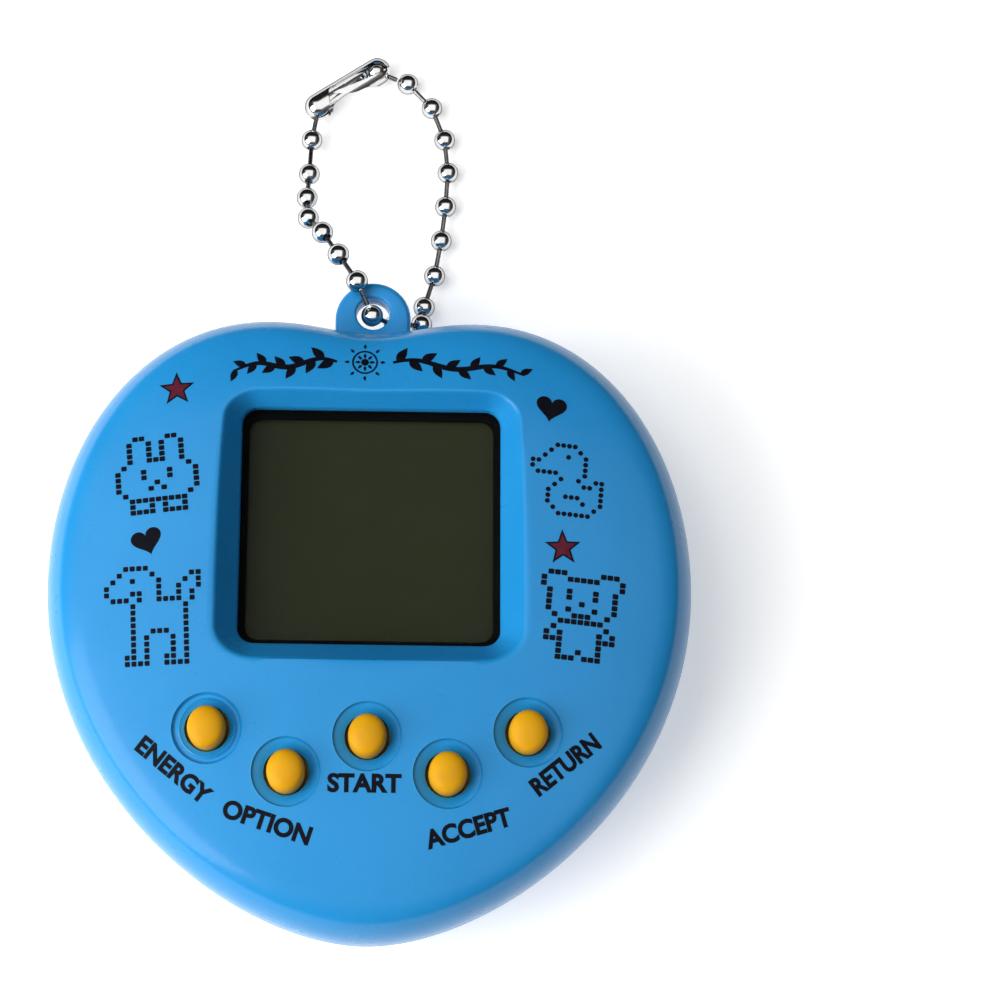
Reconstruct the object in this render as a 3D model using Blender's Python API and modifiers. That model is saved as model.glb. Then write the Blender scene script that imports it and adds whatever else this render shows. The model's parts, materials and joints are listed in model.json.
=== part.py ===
"""Virtual pet keychain: a heart-shaped toy case with an LCD, five buttons and a ball chain.

The toy lies on its flat back, with the screen facing +Z and the eyelet towards +Y. Its
origin is on the rear face, below the middle of the case. Sizes below are in millimetres;
the mesh helpers turn them into metres.
"""

import math

import bmesh
import bpy
from mathutils import Vector

MM = 0.001

# Heart outline: half of it, as Bezier knots and the lengths of their handles.
CLEFT = (0.0, 28.9)
LOBE = (9.8, 30.05)
SIDE = (30.0, 4.7)
POINT = (0.0, -28.3)
CLEFT_HANDLE = 3.0
LOBE_HANDLE_IN = 4.0
LOBE_HANDLE_OUT = 12.2
SIDE_HANDLE_UP = 13.6
SIDE_HANDLE_DOWN = 19.6
POINT_HANDLE = 11.9
HEART_CENTRE = (0.0, 1.5)
OUTLINE_STEPS = (3, 7, 8)

# Case shells: rings of (scale of the outline, height), outside then inside.
CASE_HEIGHT = 17.0
SEAM = 8.5
SEAM_GAP = 0.15
RIM_SCALE = 0.95
FRONT_OUTER = [(0.0, CASE_HEIGHT), (0.25, 16.9), (0.5, 16.55), (0.7, 16.0), (0.85, 15.2),
               (0.925, 14.5), (0.955, 13.6), (0.98, 12.2), (0.995, 10.6), (1.0, SEAM + SEAM_GAP / 2)]
FRONT_INNER = [(RIM_SCALE, SEAM + SEAM_GAP / 2), (0.945, 10.4), (0.93, 11.9), (0.905, 12.9),
               (0.87, 13.5), (0.7, 14.4), (0.5, 14.95), (0.25, 15.3), (0.0, 15.4)]
REAR_OUTER = [(1.0, SEAM - SEAM_GAP / 2), (0.997, 6.5), (0.985, 4.2), (0.96, 2.2),
              (0.92, 0.8), (0.87, 0.15), (0.83, 0.0), (0.0, 0.0)]
REAR_INNER = [(0.0, 1.3), (0.82, 1.3), (0.87, 1.7), (0.9, 2.8), (0.915, 4.6), (0.92, 9.2)]
REAR_LIP = [(0.942, 9.2), (0.942, SEAM - SEAM_GAP / 2)]
CORE_INSET = 0.5
CORE_SCALE = 0.985

# Eyelet tab.
TAB_HALF_WIDTH = 3.6
TAB_ROUND_Y = 30.75
TAB_ROOT_Y = 27.9
TAB_THICKNESS = 2.6
EYELET = (0.0, 31.24)
EYELET_RADIUS = 1.6

# Screen window and the stack behind it.
WINDOW_CENTRE = (0.0, 9.55)
WINDOW = (24.0, 22.2)
WINDOW_FLARE = (1.75, 1.45)
WINDOW_CORNER = 1.5
WINDOW_CORNER_GROWTH = 1.2
WINDOW_EDGE_Z = 13.9
WINDOW_RIM_Z = 16.2
FLARE_TOP_Z = 18.2
BOSS_MARGIN = 2.2
BOSS_BOTTOM_Z = 13.0
LENS = (26.6, 24.8)
LENS_Z = (12.4, 12.9)
GASKET_OPENING = (22.8, 21.0)
GASKET_Z = (11.6, 12.3)
LCD = (26.4, 24.6)
LCD_Z = (9.6, 11.5)
REFLECTOR = (26.0, 21.6)
REFLECTOR_Z = (9.3, 9.5)
REFLECTOR_SHIFT = 1.4
ZEBRA = (24.0, 1.4)
ZEBRA_Y = -1.9
ZEBRA_Z = (8.7, 9.5)

# Circuit board.
BOARD_SCALE = 0.84
BOARD_Z = (7.6, 8.6)

# Buttons: place of each, from left to right.
BUTTON_PLACES = {
    "status": (-14.35, -9.65),
    "select": (-7.2, -13.45),
    "reset": (0.0, -10.25),
    "decide": (7.2, -13.45),
    "cancel": (14.35, -9.65),
}
RING_RADIUS = 3.2
RING_FLOOR_RADIUS = 2.65
RING_DEPTH = 0.55
BUTTON_HOLE_RADIUS = 2.05
BUTTON_RADIUS = 1.85
BUTTON_PROUD = 2.0
CROWN = [(0, 0), (0.3, 0.05), (0.55, 0.18), (0.75, 0.4), (0.9, 0.75), (1.0, 1.35)]
FLANGE_RADIUS = 2.8
FLANGE_Z = (13.2, 14.1)
STEM_RADIUS = 1.5
STEM_BOTTOM_Z = 11.6
GUIDE_RADIUS = 3.1
GUIDE_BOTTOM_Z = 14.2
DOME_TOP_Z = 11.5
DOME_BASE_Z = 8.7

# Fasteners.
CASE_SCREWS = [(-20.0, 14.0), (20.0, 14.0), (0.0, -22.0)]
BOARD_SCREWS = [(-17.0, -1.5), (17.0, -1.5)]
POST_RADIUS = 2.3
BOARD_POST_RADIUS = 2.0
PILOT_RADIUS = 1.0
SHANK_RADIUS = 0.8
HEAD_RADIUS = 1.6
HEAD_HEIGHT = 1.2
HEAD_RECESS = 0.15
CASE_SHANK_TOP_Z = 11.8
BOARD_SHANK_TOP_Z = 12.0
COUNTERBORE_RADIUS = 1.9
COUNTERBORE_Z = 3.0
REAR_POST_TOP_Z = 7.4
FRONT_POST_Z = 7.55
PILOT_TOP_Z = 12.6
BOARD_POST_Z = 8.75

# Batteries and their door.
CELL_RADIUS = 5.8
CELL_Z = (1.5, 6.9)
CELL_X = 6.2
CELL_Y = -9.2
CONTACT_LEG_OFFSET = 2.8
DOOR = (26.4, 13.4)
DOOR_THICKNESS = 1.0
DOOR_GAP = 0.15
DOOR_LUG = (7.4, 6.0)
DOOR_LUG_X = 14.6
DOOR_SCREW = (15.9, CELL_Y)
DOOR_PAD = (36.0, 17.0)
DOOR_PAD_CENTRE = (1.6, CELL_Y)
DOOR_PAD_Z = (0.5, 2.2)
DOOR_POST_TOP_Z = 5.0
CELL_CLEARANCE = 0.2
BAY_WALL = 0.9
BAY_TOP_Z = 7.3

# Buzzer.
BUZZER_CENTRE = (0.0, 16.5)
BUZZER_RADIUS = 7.5
BUZZER_RIM = 1.0
BUZZER_RIM_TOP_Z = 2.4
SOUND_HOLE_RADIUS = 0.55
SOUND_HOLES = [(0, 0), (2.4, 0), (-2.4, 0), (0, 2.4), (0, -2.4)]

# Ball chain: bead centres from the eyelet round to the eyelet again.
BEAD_RADIUS = 1.05
PIN_RADIUS = 0.25
PIN_CLEARANCE = 0.1
OPEN_PIVOT_CLEARANCE = 0.35
EYE_BEAD = (-0.1, 31.15, 9.2)
UNDER_BEAD = (2.1, 31.2, 5.85)
LEFT_STRAND = [(-1.58, 34.02, 11.0), (-3.42, 36.95, 10.2), (-5.02, 39.7, 8.6),
               (-6.49, 41.96, 6.3), (-6.7, 44.8, 4.2), (-6.58, 47.95, 2.5),
               (-6.42, 51.9, 1.6), (-5.77, 55.6, 1.45)]
RIGHT_STRAND = [(4.75, 32.0, 3.7), (5.04, 34.5, 1.4), (6.06, 37.9, 1.05),
                (6.69, 41.6, 1.05), (7.1, 45.2, 1.05), (7.31, 48.8, 1.05),
                (6.96, 52.3, 1.05), (5.64, 55.7, 1.05), (3.19, 58.3, 1.05), (-0.03, 59.4, 1.45)]
CLASP_RADIUS = 1.4
CLASP_BORE = 1.15
CLASP_LENGTH = 9.8
LOOP_MIDDLE = Vector((0.0, 40.0, 0.0))
MOUTH_SHARE = 0.64
MOUTH_REACH = 2.3
SLOT_WIDTH = 0.9
SLOT_REACH = 2.0

COLOURS = {
    "blue_plastic": ((0.04, 0.33, 0.78), 0.18, 0.0),
    "yellow_plastic": ((0.82, 0.41, 0.012), 0.42, 0.0),
    "black_foam": ((0.006, 0.006, 0.006), 0.9, 0.0),
    "clear_lens": ((0.8, 0.85, 0.85), 0.05, 0.0),
    "lcd_glass": ((0.023, 0.026, 0.015), 0.2, 0.0),
    "silver_film": ((0.6, 0.6, 0.58), 0.35, 0.8),
    "grey_rubber": ((0.25, 0.25, 0.26), 0.7, 0.0),
    "green_board": ((0.01, 0.14, 0.05), 0.4, 0.0),
    "black_resin": ((0.01, 0.01, 0.012), 0.35, 0.0),
    "red_wire": ((0.6, 0.02, 0.02), 0.45, 0.0),
    "brass": ((0.7, 0.47, 0.15), 0.3, 1.0),
    "ceramic": ((0.75, 0.72, 0.66), 0.5, 0.0),
    "steel": ((0.6, 0.6, 0.62), 0.3, 1.0),
    "chrome": ((0.75, 0.75, 0.77), 0.08, 1.0),
}


def clear_scene():
    for old in list(bpy.data.objects):
        bpy.data.objects.remove(old, do_unlink=True)


def make_collection(name):
    collection = bpy.data.collections.new(name)
    bpy.context.scene.collection.children.link(collection)
    return collection


def make_material(name):
    colour, roughness, metallic = COLOURS[name]
    material = bpy.data.materials.new(name)
    material.use_nodes = True
    shader = material.node_tree.nodes["Principled BSDF"]
    shader.inputs["Base Color"].default_value = (*colour, 1.0)
    shader.inputs["Roughness"].default_value = roughness
    shader.inputs["Metallic"].default_value = metallic
    material.diffuse_color = (*colour, 1.0)
    return material


clear_scene()
PART = make_collection("virtual_pet_keychain")
CUTTERS = make_collection("cutters")
MATERIALS = {name: make_material(name) for name in COLOURS}


# ---------------------------------------------------------------- mesh helpers


def add_mesh(name, mesh, material=None):
    """Link a mesh as a visible piece, or as a hidden cutter where it has no material."""
    piece = bpy.data.objects.new(name, mesh)
    if material is None:
        piece.hide_render = True
        piece.display_type = "WIRE"
        CUTTERS.objects.link(piece)
        return piece
    mesh.materials.clear()
    mesh.materials.append(MATERIALS[material])
    mesh.shade_smooth()
    mesh.set_sharp_from_angle(angle=math.radians(32))
    PART.objects.link(piece)
    return piece


def mesh_from(bm, name):
    bmesh.ops.recalc_face_normals(bm, faces=bm.faces)
    mesh = bpy.data.meshes.new(name)
    bm.to_mesh(mesh)
    bm.free()
    return mesh


def loft(name, rings, material=None):
    """A closed skin through rings of points; the first and last rings are closed flat or at a tip."""
    bm = bmesh.new()
    loops = [[bm.verts.new(Vector(point) * MM) for point in ring] for ring in rings]
    for lower, upper in zip(loops, loops[1:]):
        count = max(len(lower), len(upper))
        for i in range(count):
            j = (i + 1) % count
            corners = [lower[i % len(lower)], lower[j % len(lower)],
                       upper[j % len(upper)], upper[i % len(upper)]]
            bm.faces.new(list(dict.fromkeys(corners)))
    for end in (loops[0], loops[-1]):
        if len(end) > 2:
            bm.faces.new(end)
    return add_mesh(name, mesh_from(bm, name), material)


def cylinder(name, radius, z_range, centre=(0.0, 0.0), material=None, top_radius=None, segments=16):
    bm = bmesh.new()
    low, high = z_range
    top = radius if top_radius is None else top_radius
    bmesh.ops.create_cone(bm, cap_ends=True, segments=segments, radius1=radius * MM,
                          radius2=top * MM, depth=(high - low) * MM)
    bmesh.ops.translate(bm, verts=bm.verts, vec=(0, 0, (low + high) / 2 * MM))
    piece = add_mesh(name, mesh_from(bm, name), material)
    piece.location = (centre[0] * MM, centre[1] * MM, 0)
    return piece


def box(name, size, z_range, centre=(0.0, 0.0), material=None):
    bm = bmesh.new()
    bmesh.ops.create_cube(bm, size=1.0)
    depth = z_range[1] - z_range[0]
    bmesh.ops.scale(bm, verts=bm.verts, vec=(size[0] * MM, size[1] * MM, depth * MM))
    piece = add_mesh(name, mesh_from(bm, name), material)
    piece.location = (centre[0] * MM, centre[1] * MM, sum(z_range) / 2 * MM)
    return piece


def rounded_rectangle(size, radius, centre=(0.0, 0.0), steps=4):
    """Corner arcs of a rounded rectangle, anticlockwise."""
    points = []
    for quarter, (sx, sy) in enumerate([(1, 1), (-1, 1), (-1, -1), (1, -1)]):
        cx = centre[0] + sx * (size[0] / 2 - radius)
        cy = centre[1] + sy * (size[1] / 2 - radius)
        for step in range(steps + 1):
            angle = math.radians(90 * (quarter + step / steps))
            points.append((cx + radius * math.cos(angle), cy + radius * math.sin(angle)))
    return points


def circle(radius, centre=(0.0, 0.0), steps=24):
    turns = [2 * math.pi * step / steps for step in range(steps)]
    return [(centre[0] + radius * math.cos(a), centre[1] + radius * math.sin(a)) for a in turns]


def plate(name, outlines, z_range, material=None):
    """A flat piece from a filled 2D curve; outlines after the first are its openings."""
    data = bpy.data.curves.new(name, "CURVE")
    data.dimensions = "2D"
    data.fill_mode = "BOTH"
    data.extrude = (z_range[1] - z_range[0]) / 2 * MM
    for outline in outlines:
        spline = data.splines.new("POLY")
        spline.points.add(len(outline) - 1)
        for point, (x, y) in zip(spline.points, outline):
            point.co = (x * MM, y * MM, 0, 1)
        spline.use_cyclic_u = True
    return curve_to_mesh(name, data, sum(z_range) / 2, material)


def wire(name, route, radius, material):
    """A round wire along a route of points, smoothed with a Catmull-Rom curve."""
    data = bpy.data.curves.new(name, "CURVE")
    data.dimensions = "3D"
    data.bevel_depth = radius * MM
    data.bevel_resolution = 2
    data.use_fill_caps = True
    points = smooth_route([Vector(p) for p in route], 3)
    spline = data.splines.new("POLY")
    spline.points.add(len(points) - 1)
    for point, place in zip(spline.points, points):
        point.co = (*(place * MM), 1)
    return curve_to_mesh(name, data, 0, material)


def smooth_route(knots, steps):
    padded = [2 * knots[0] - knots[1], *knots, 2 * knots[-1] - knots[-2]]
    points = []
    for a, b, c, d in zip(padded, padded[1:], padded[2:], padded[3:]):
        for step in range(steps):
            t = step / steps
            points.append(0.5 * (2 * b + (c - a) * t + (2 * a - 5 * b + 4 * c - d) * t * t
                                 + (3 * b - a - 3 * c + d) * t ** 3))
    return [*points, knots[-1]]


def curve_to_mesh(name, data, height, material):
    guide = bpy.data.objects.new(name + "_curve", data)
    guide.location.z = height * MM
    CUTTERS.objects.link(guide)
    bpy.context.view_layer.update()
    graph = bpy.context.evaluated_depsgraph_get()
    mesh = bpy.data.meshes.new_from_object(guide.evaluated_get(graph))
    bm = bmesh.new()
    bm.from_mesh(mesh)
    bmesh.ops.remove_doubles(bm, verts=bm.verts, dist=0.001 * MM)
    bm.transform(guide.matrix_world)
    bpy.data.objects.remove(guide, do_unlink=True)
    bpy.data.meshes.remove(mesh)
    return add_mesh(name, mesh_from(bm, name), material)


def lathe(name, profile, material=None, centre=(0.0, 0.0, 0.0), steps=24):
    """A turned piece; the profile of (radius, height) runs from the top down the outer side."""
    bm = bmesh.new()
    verts = [bm.verts.new((radius * MM, 0, height * MM)) for radius, height in profile]
    for upper, lower in zip(verts, verts[1:]):
        bm.edges.new((upper, lower))
    mesh = bpy.data.meshes.new(name)
    bm.to_mesh(mesh)
    bm.free()
    piece = add_mesh(name, mesh, material)
    screw = piece.modifiers.new("turn", "SCREW")
    screw.axis = "Z"
    screw.angle = 2 * math.pi
    screw.steps = steps
    screw.render_steps = steps
    screw.use_merge_vertices = True
    screw.merge_threshold = 0.000001
    screw.use_smooth_shade = True
    piece.location = Vector(centre) * MM
    return piece


def combine(target, tool, operation):
    modifier = target.modifiers.new(operation.lower() + "_" + tool.name, "BOOLEAN")
    modifier.operation = operation
    modifier.object = tool
    modifier.solver = "EXACT"


def cut(target, *tools):
    for tool in tools:
        combine(target, tool, "DIFFERENCE")


def join(target, *tools):
    for tool in tools:
        combine(target, tool, "UNION")


# ---------------------------------------------------------------- heart geometry


def bezier(start, start_handle, end_handle, end, steps):
    """Points along a cubic Bezier, without its end."""
    points = []
    for step in range(steps):
        t = step / steps
        weights = ((1 - t) ** 3, 3 * (1 - t) ** 2 * t, 3 * (1 - t) * t * t, t ** 3)
        corners = (start, start_handle, end_handle, end)
        points.append(tuple(sum(w * c[axis] for w, c in zip(weights, corners)) for axis in (0, 1)))
    return points


def heart_outline():
    half = bezier(CLEFT, (CLEFT[0] + CLEFT_HANDLE, CLEFT[1]),
                  (LOBE[0] - LOBE_HANDLE_IN, LOBE[1]), LOBE, OUTLINE_STEPS[0])
    half += bezier(LOBE, (LOBE[0] + LOBE_HANDLE_OUT, LOBE[1]),
                   (SIDE[0], SIDE[1] + SIDE_HANDLE_UP), SIDE, OUTLINE_STEPS[1])
    half += bezier(SIDE, (SIDE[0], SIDE[1] - SIDE_HANDLE_DOWN),
                   (POINT[0] + POINT_HANDLE, POINT[1]), POINT, OUTLINE_STEPS[2])
    return half + [POINT] + [(-x, y) for x, y in reversed(half[1:])]


HEART = heart_outline()


def heart_ring(scale, height):
    """The outline scaled about the middle of the case; a scale of 0 gives a single point."""
    cx, cy = HEART_CENTRE
    if scale == 0:
        return [(cx, cy, height)]
    return [(cx + (x - cx) * scale, cy + (y - cy) * scale, height) for x, y in HEART]


def heart_loft(name, profile, material=None):
    return loft(name, [heart_ring(scale, height) for scale, height in profile], material)


def outline_share(x, y):
    """How far a place is from the middle of the case, as a share of the way to the outline."""
    place = Vector((x - HEART_CENTRE[0], y - HEART_CENTRE[1]))
    for (ax, ay), (bx, by) in zip(HEART, HEART[1:] + HEART[:1]):
        a = Vector((ax - HEART_CENTRE[0], ay - HEART_CENTRE[1]))
        b = Vector((bx - HEART_CENTRE[0], by - HEART_CENTRE[1]))
        area = a.x * b.y - a.y * b.x
        u = (place.x * b.y - place.y * b.x) / area
        v = (a.x * place.y - a.y * place.x) / area
        if u >= 0 and v >= 0:
            return u + v
    return 0.0


def face_height(x, y):
    """Height of the front face above a place."""
    share = outline_share(x, y)
    for (inner, high), (outer, low) in zip(FRONT_OUTER, FRONT_OUTER[1:]):
        if inner <= share <= outer:
            return high + (low - high) * (share - inner) / (outer - inner)
    return SEAM


def face_normal(x, y, reach=1.5):
    slope_x = (face_height(x + reach, y) - face_height(x - reach, y)) / (2 * reach)
    slope_y = (face_height(x, y + reach) - face_height(x, y - reach)) / (2 * reach)
    return Vector((-slope_x, -slope_y, 1)).normalized()


# ---------------------------------------------------------------- case


def tab_outline():
    angles = [math.radians(degrees) for degrees in range(0, 181, 15)]
    arc = [(TAB_HALF_WIDTH * math.cos(a), TAB_ROUND_Y + TAB_HALF_WIDTH * math.sin(a)) for a in angles]
    return [(TAB_HALF_WIDTH, TAB_ROOT_Y), *arc, (-TAB_HALF_WIDTH, TAB_ROOT_Y)]


def make_front_shell():
    shell = heart_loft("front_shell", FRONT_OUTER + FRONT_INNER, "blue_plastic")
    core = heart_loft("front_core", [(s * CORE_SCALE, z - CORE_INSET) for s, z in FRONT_OUTER])
    tab = plate("front_tab", [tab_outline()], (SEAM + SEAM_GAP / 2, SEAM + TAB_THICKNESS / 2))
    boss_size = (WINDOW[0] + 2 * BOSS_MARGIN, WINDOW[1] + 2 * BOSS_MARGIN)
    boss_outline = rounded_rectangle(boss_size, 2.0, WINDOW_CENTRE)
    boss = plate("window_boss", [boss_outline], (BOSS_BOTTOM_Z, CASE_HEIGHT))
    solids = [boss]
    for index, (x, y) in enumerate(CASE_SCREWS):
        solids.append(cylinder(f"front_post_{index}", POST_RADIUS, (FRONT_POST_Z, CASE_HEIGHT), (x, y)))
    for index, (x, y) in enumerate(BOARD_SCREWS):
        post_z = (BOARD_POST_Z, CASE_HEIGHT)
        solids.append(cylinder(f"board_post_{index}", BOARD_POST_RADIUS, post_z, (x, y)))
    for name, (x, y) in BUTTON_PLACES.items():
        solids.append(cylinder(f"guide_{name}", GUIDE_RADIUS, (GUIDE_BOTTOM_Z, CASE_HEIGHT), (x, y)))
    for solid in solids:
        combine(solid, core, "INTERSECT")
    join(shell, tab, *solids)

    pocket_rings = []
    for height in (FLARE_TOP_Z, WINDOW_EDGE_Z, BOSS_BOTTOM_Z - 0.5):
        flare = max(0.0, height - WINDOW_EDGE_Z) / (WINDOW_RIM_Z - WINDOW_EDGE_Z)
        size = (WINDOW[0] + 2 * WINDOW_FLARE[0] * flare, WINDOW[1] + 2 * WINDOW_FLARE[1] * flare)
        ring = rounded_rectangle(size, WINDOW_CORNER + WINDOW_CORNER_GROWTH * flare, WINDOW_CENTRE)
        pocket_rings.append([(x, y, height) for x, y in ring])
    cut(shell, loft("window_pocket", pocket_rings))
    cut(shell, cylinder("front_eyelet", EYELET_RADIUS, (SEAM - 1, CASE_HEIGHT), EYELET))
    for index, (x, y) in enumerate(CASE_SCREWS + BOARD_SCREWS):
        cut(shell, cylinder(f"pilot_{index}", PILOT_RADIUS, (SEAM - 2, PILOT_TOP_Z), (x, y)))
    for name, (x, y) in BUTTON_PLACES.items():
        ring = cylinder(f"ring_{name}", RING_FLOOR_RADIUS, (-RING_DEPTH, RING_DEPTH),
                        top_radius=2 * RING_RADIUS - RING_FLOOR_RADIUS, segments=24)
        ring.location = Vector((x, y, face_height(x, y))) * MM
        ring.rotation_mode = "QUATERNION"
        ring.rotation_quaternion = Vector((0, 0, 1)).rotation_difference(face_normal(x, y))
        hole = cylinder(f"hole_{name}", BUTTON_HOLE_RADIUS, (SEAM, FLARE_TOP_Z), (x, y))
        cut(shell, ring, hole)
    return shell


def make_rear_shell():
    rings = REAR_INNER + REAR_LIP + REAR_OUTER
    shell = heart_loft("rear_shell", rings, "blue_plastic")
    tab = plate("rear_tab", [tab_outline()], (SEAM - TAB_THICKNESS / 2, SEAM - SEAM_GAP / 2))
    pad = plate("door_pad", [rounded_rectangle(DOOR_PAD, 2.0, DOOR_PAD_CENTRE)], DOOR_PAD_Z)
    bay_size = (2 * (CELL_X + CELL_RADIUS + CELL_CLEARANCE), 2 * (CELL_RADIUS + CELL_CLEARANCE))
    bay_outer_size = (bay_size[0] + 2 * BAY_WALL, bay_size[1] + 2 * BAY_WALL)
    bay_outer = rounded_rectangle(bay_outer_size, 6.2, (0, CELL_Y))
    bay = plate("bay_wall", [bay_outer], (DOOR_THICKNESS, BAY_TOP_Z))
    buzzer_rim = circle(BUZZER_RADIUS + BUZZER_RIM, BUZZER_CENTRE)
    buzzer_seat = plate("buzzer_seat", [buzzer_rim], (1.0, BUZZER_RIM_TOP_Z))
    posts = [cylinder(f"rear_post_{index}", POST_RADIUS, (0.6, REAR_POST_TOP_Z), place)
             for index, place in enumerate(CASE_SCREWS)]
    door_post = cylinder("door_post", BOARD_POST_RADIUS, (1.0, DOOR_POST_TOP_Z), DOOR_SCREW)
    join(shell, tab, pad, bay, buzzer_seat, *posts, door_post)

    bay_inner = rounded_rectangle(bay_size, 5.9, (0, CELL_Y))
    bay_hole = plate("bay_hole", [bay_inner], (DOOR_THICKNESS + 0.1, 9.0))
    opening = plate("door_opening", [door_outline(DOOR_GAP)], (-1.0, DOOR_THICKNESS + DOOR_GAP))
    buzzer_hole = plate("buzzer_hole", [circle(BUZZER_RADIUS + 0.2, BUZZER_CENTRE)], (1.3, 3.0))
    cut(shell, opening, bay_hole, buzzer_hole)
    cut(shell, cylinder("rear_eyelet", EYELET_RADIUS, (5.0, SEAM + 1), EYELET))
    cut(shell, cylinder("door_pilot", PILOT_RADIUS, (0.5, 4.4), DOOR_SCREW))
    for index, place in enumerate(CASE_SCREWS):
        cut(shell, cylinder(f"counterbore_{index}", COUNTERBORE_RADIUS, (-1.0, COUNTERBORE_Z), place))
        cut(shell, cylinder(f"clearance_{index}", PILOT_RADIUS, (0.0, 9.0), place))
    for index, (dx, dy) in enumerate(SOUND_HOLES):
        place = (BUZZER_CENTRE[0] + dx, BUZZER_CENTRE[1] + dy)
        cut(shell, cylinder(f"sound_hole_{index}", SOUND_HOLE_RADIUS, (-1.0, 1.6), place, segments=8))
    return shell


# ---------------------------------------------------------------- screen


def screen_plate(name, size, z_range, material, opening=None, shift=0.0):
    centre = (WINDOW_CENTRE[0], WINDOW_CENTRE[1] + shift)
    outlines = [rounded_rectangle(size, 0.8, centre, 3)]
    if opening:
        outlines.append(rounded_rectangle(opening, 1.2, centre, 4))
    return plate(name, outlines, z_range, material)


def make_screen():
    screen_plate("screen_lens", LENS, LENS_Z, "clear_lens")
    screen_plate("screen_gasket", LENS, GASKET_Z, "black_foam", GASKET_OPENING)
    screen_plate("lcd_panel", LCD, LCD_Z, "lcd_glass")
    screen_plate("lcd_reflector", REFLECTOR, REFLECTOR_Z, "silver_film", shift=REFLECTOR_SHIFT)
    box("zebra_strip", ZEBRA, ZEBRA_Z, (0, ZEBRA_Y), "grey_rubber")


# ---------------------------------------------------------------- electronics


def make_board():
    outline = [(x, y) for x, y, _ in heart_ring(BOARD_SCALE, 0)]
    board = plate("circuit_board", [outline], BOARD_Z, "green_board")
    for index, place in enumerate(CASE_SCREWS):
        cut(board, cylinder(f"board_relief_{index}", POST_RADIUS + 0.3, (7.0, 9.0), place))
    for index, place in enumerate(BOARD_SCREWS):
        cut(board, cylinder(f"board_hole_{index}", PILOT_RADIUS, (7.0, 9.0), place))
    lathe("chip_blob", [(0, 7.5), (4.6, 7.5), (4.6, 7.2), (3.6, 6.8), (1.8, 6.55), (0, 6.5)],
          "black_resin", (-8.0, 13.0, 0), 20)
    lathe("capacitor", [(0, 7.5), (1.5, 7.5), (1.5, 4.2), (1.3, 4.0), (0, 4.0)],
          "black_resin", (11.5, 10.0, 0), 16)
    box("resistor", (2.0, 1.25), (6.95, 7.5), (12.0, 5.5), "black_resin")
    lathe("buzzer_plate", [(0, 1.95), (BUZZER_RADIUS, 1.95), (BUZZER_RADIUS, 1.75), (0, 1.75)],
          "brass", (*BUZZER_CENTRE, 0), 32)
    lathe("buzzer_ceramic", [(0, 2.25), (5.0, 2.25), (5.0, 2.05), (0, 2.05)],
          "ceramic", (*BUZZER_CENTRE, 0), 24)
    wire("buzzer_wire_red", [(1.0, 17.0, 2.6), (2.2, 17.6, 3.6), (4.0, 18.6, 4.6), (5.4, 19.2, 6.0),
                             (5.8, 19.4, 7.45)], 0.25, "red_wire")
    wire("buzzer_wire_black", [(6.3, 16.0, 2.35), (7.0, 15.4, 3.4), (8.2, 14.8, 4.8), (9.0, 14.6, 6.2),
                               (9.2, 14.6, 7.45)], 0.25, "black_resin")


def make_batteries():
    low, high = CELL_Z
    can = [(0, high), (CELL_RADIUS - 0.9, high), (CELL_RADIUS - 0.9, high - 0.4),
           (CELL_RADIUS - 0.2, high - 0.5), (CELL_RADIUS, high - 0.8), (CELL_RADIUS, low + 0.3),
           (CELL_RADIUS - 0.3, low), (0, low)]
    turned_over = [(radius, low + high - height) for radius, height in reversed(can)]
    lathe("battery_cell_1", can, "steel", (-CELL_X, CELL_Y, 0), 28)
    lathe("battery_cell_2", turned_over, "steel", (CELL_X, CELL_Y, 0), 28)
    for name, side in (("contact_minus", -1), ("contact_plus", 1)):
        leaf = box(name, (6.0, 2.6), (7.0, 7.2), (side * CELL_X, CELL_Y), "steel")
        leg = box(name + "_leg", (0.4, 2.6), (7.1, 7.5), (side * (CELL_X + CONTACT_LEG_OFFSET), CELL_Y))
        join(leaf, leg)


def door_outline(grow):
    """Rounded rectangle with a screw lug on its right side."""
    half_x = DOOR[0] / 2 + grow
    half_y = DOOR[1] / 2 + grow
    lug_y = DOOR_LUG[1] / 2 + grow
    lug_end = DOOR_LUG_X + DOOR_LUG[0] / 2 + grow - lug_y
    corners = rounded_rectangle((2 * half_x, 2 * half_y), 1.2, (0, CELL_Y), 3)
    left = [point for point in corners if point[0] < 0]
    upper_right = [point for point in corners if point[0] > 0 and point[1] > CELL_Y]
    lower_right = [point for point in corners if point[0] > 0 and point[1] < CELL_Y]
    angles = [math.radians(degrees) for degrees in range(-90, 91, 15)]
    nose = [(lug_end + lug_y * math.cos(a), CELL_Y + lug_y * math.sin(a)) for a in angles]
    lug = [(half_x, CELL_Y - lug_y), *nose, (half_x, CELL_Y + lug_y)]
    return lug + upper_right + left + lower_right


def make_battery_door():
    door = plate("battery_door", [door_outline(0)], (0.0, DOOR_THICKNESS), "blue_plastic")
    cut(door, cylinder("door_screw_seat", COUNTERBORE_RADIUS - 0.1, (-1.0, 0.55), DOOR_SCREW))
    cut(door, cylinder("door_screw_hole", PILOT_RADIUS, (-1.0, 2.0), DOOR_SCREW))
    box("contact_bridge", (16.0, 4.0), (1.1, 1.3), (0, CELL_Y), "steel")


# ---------------------------------------------------------------- buttons


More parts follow.
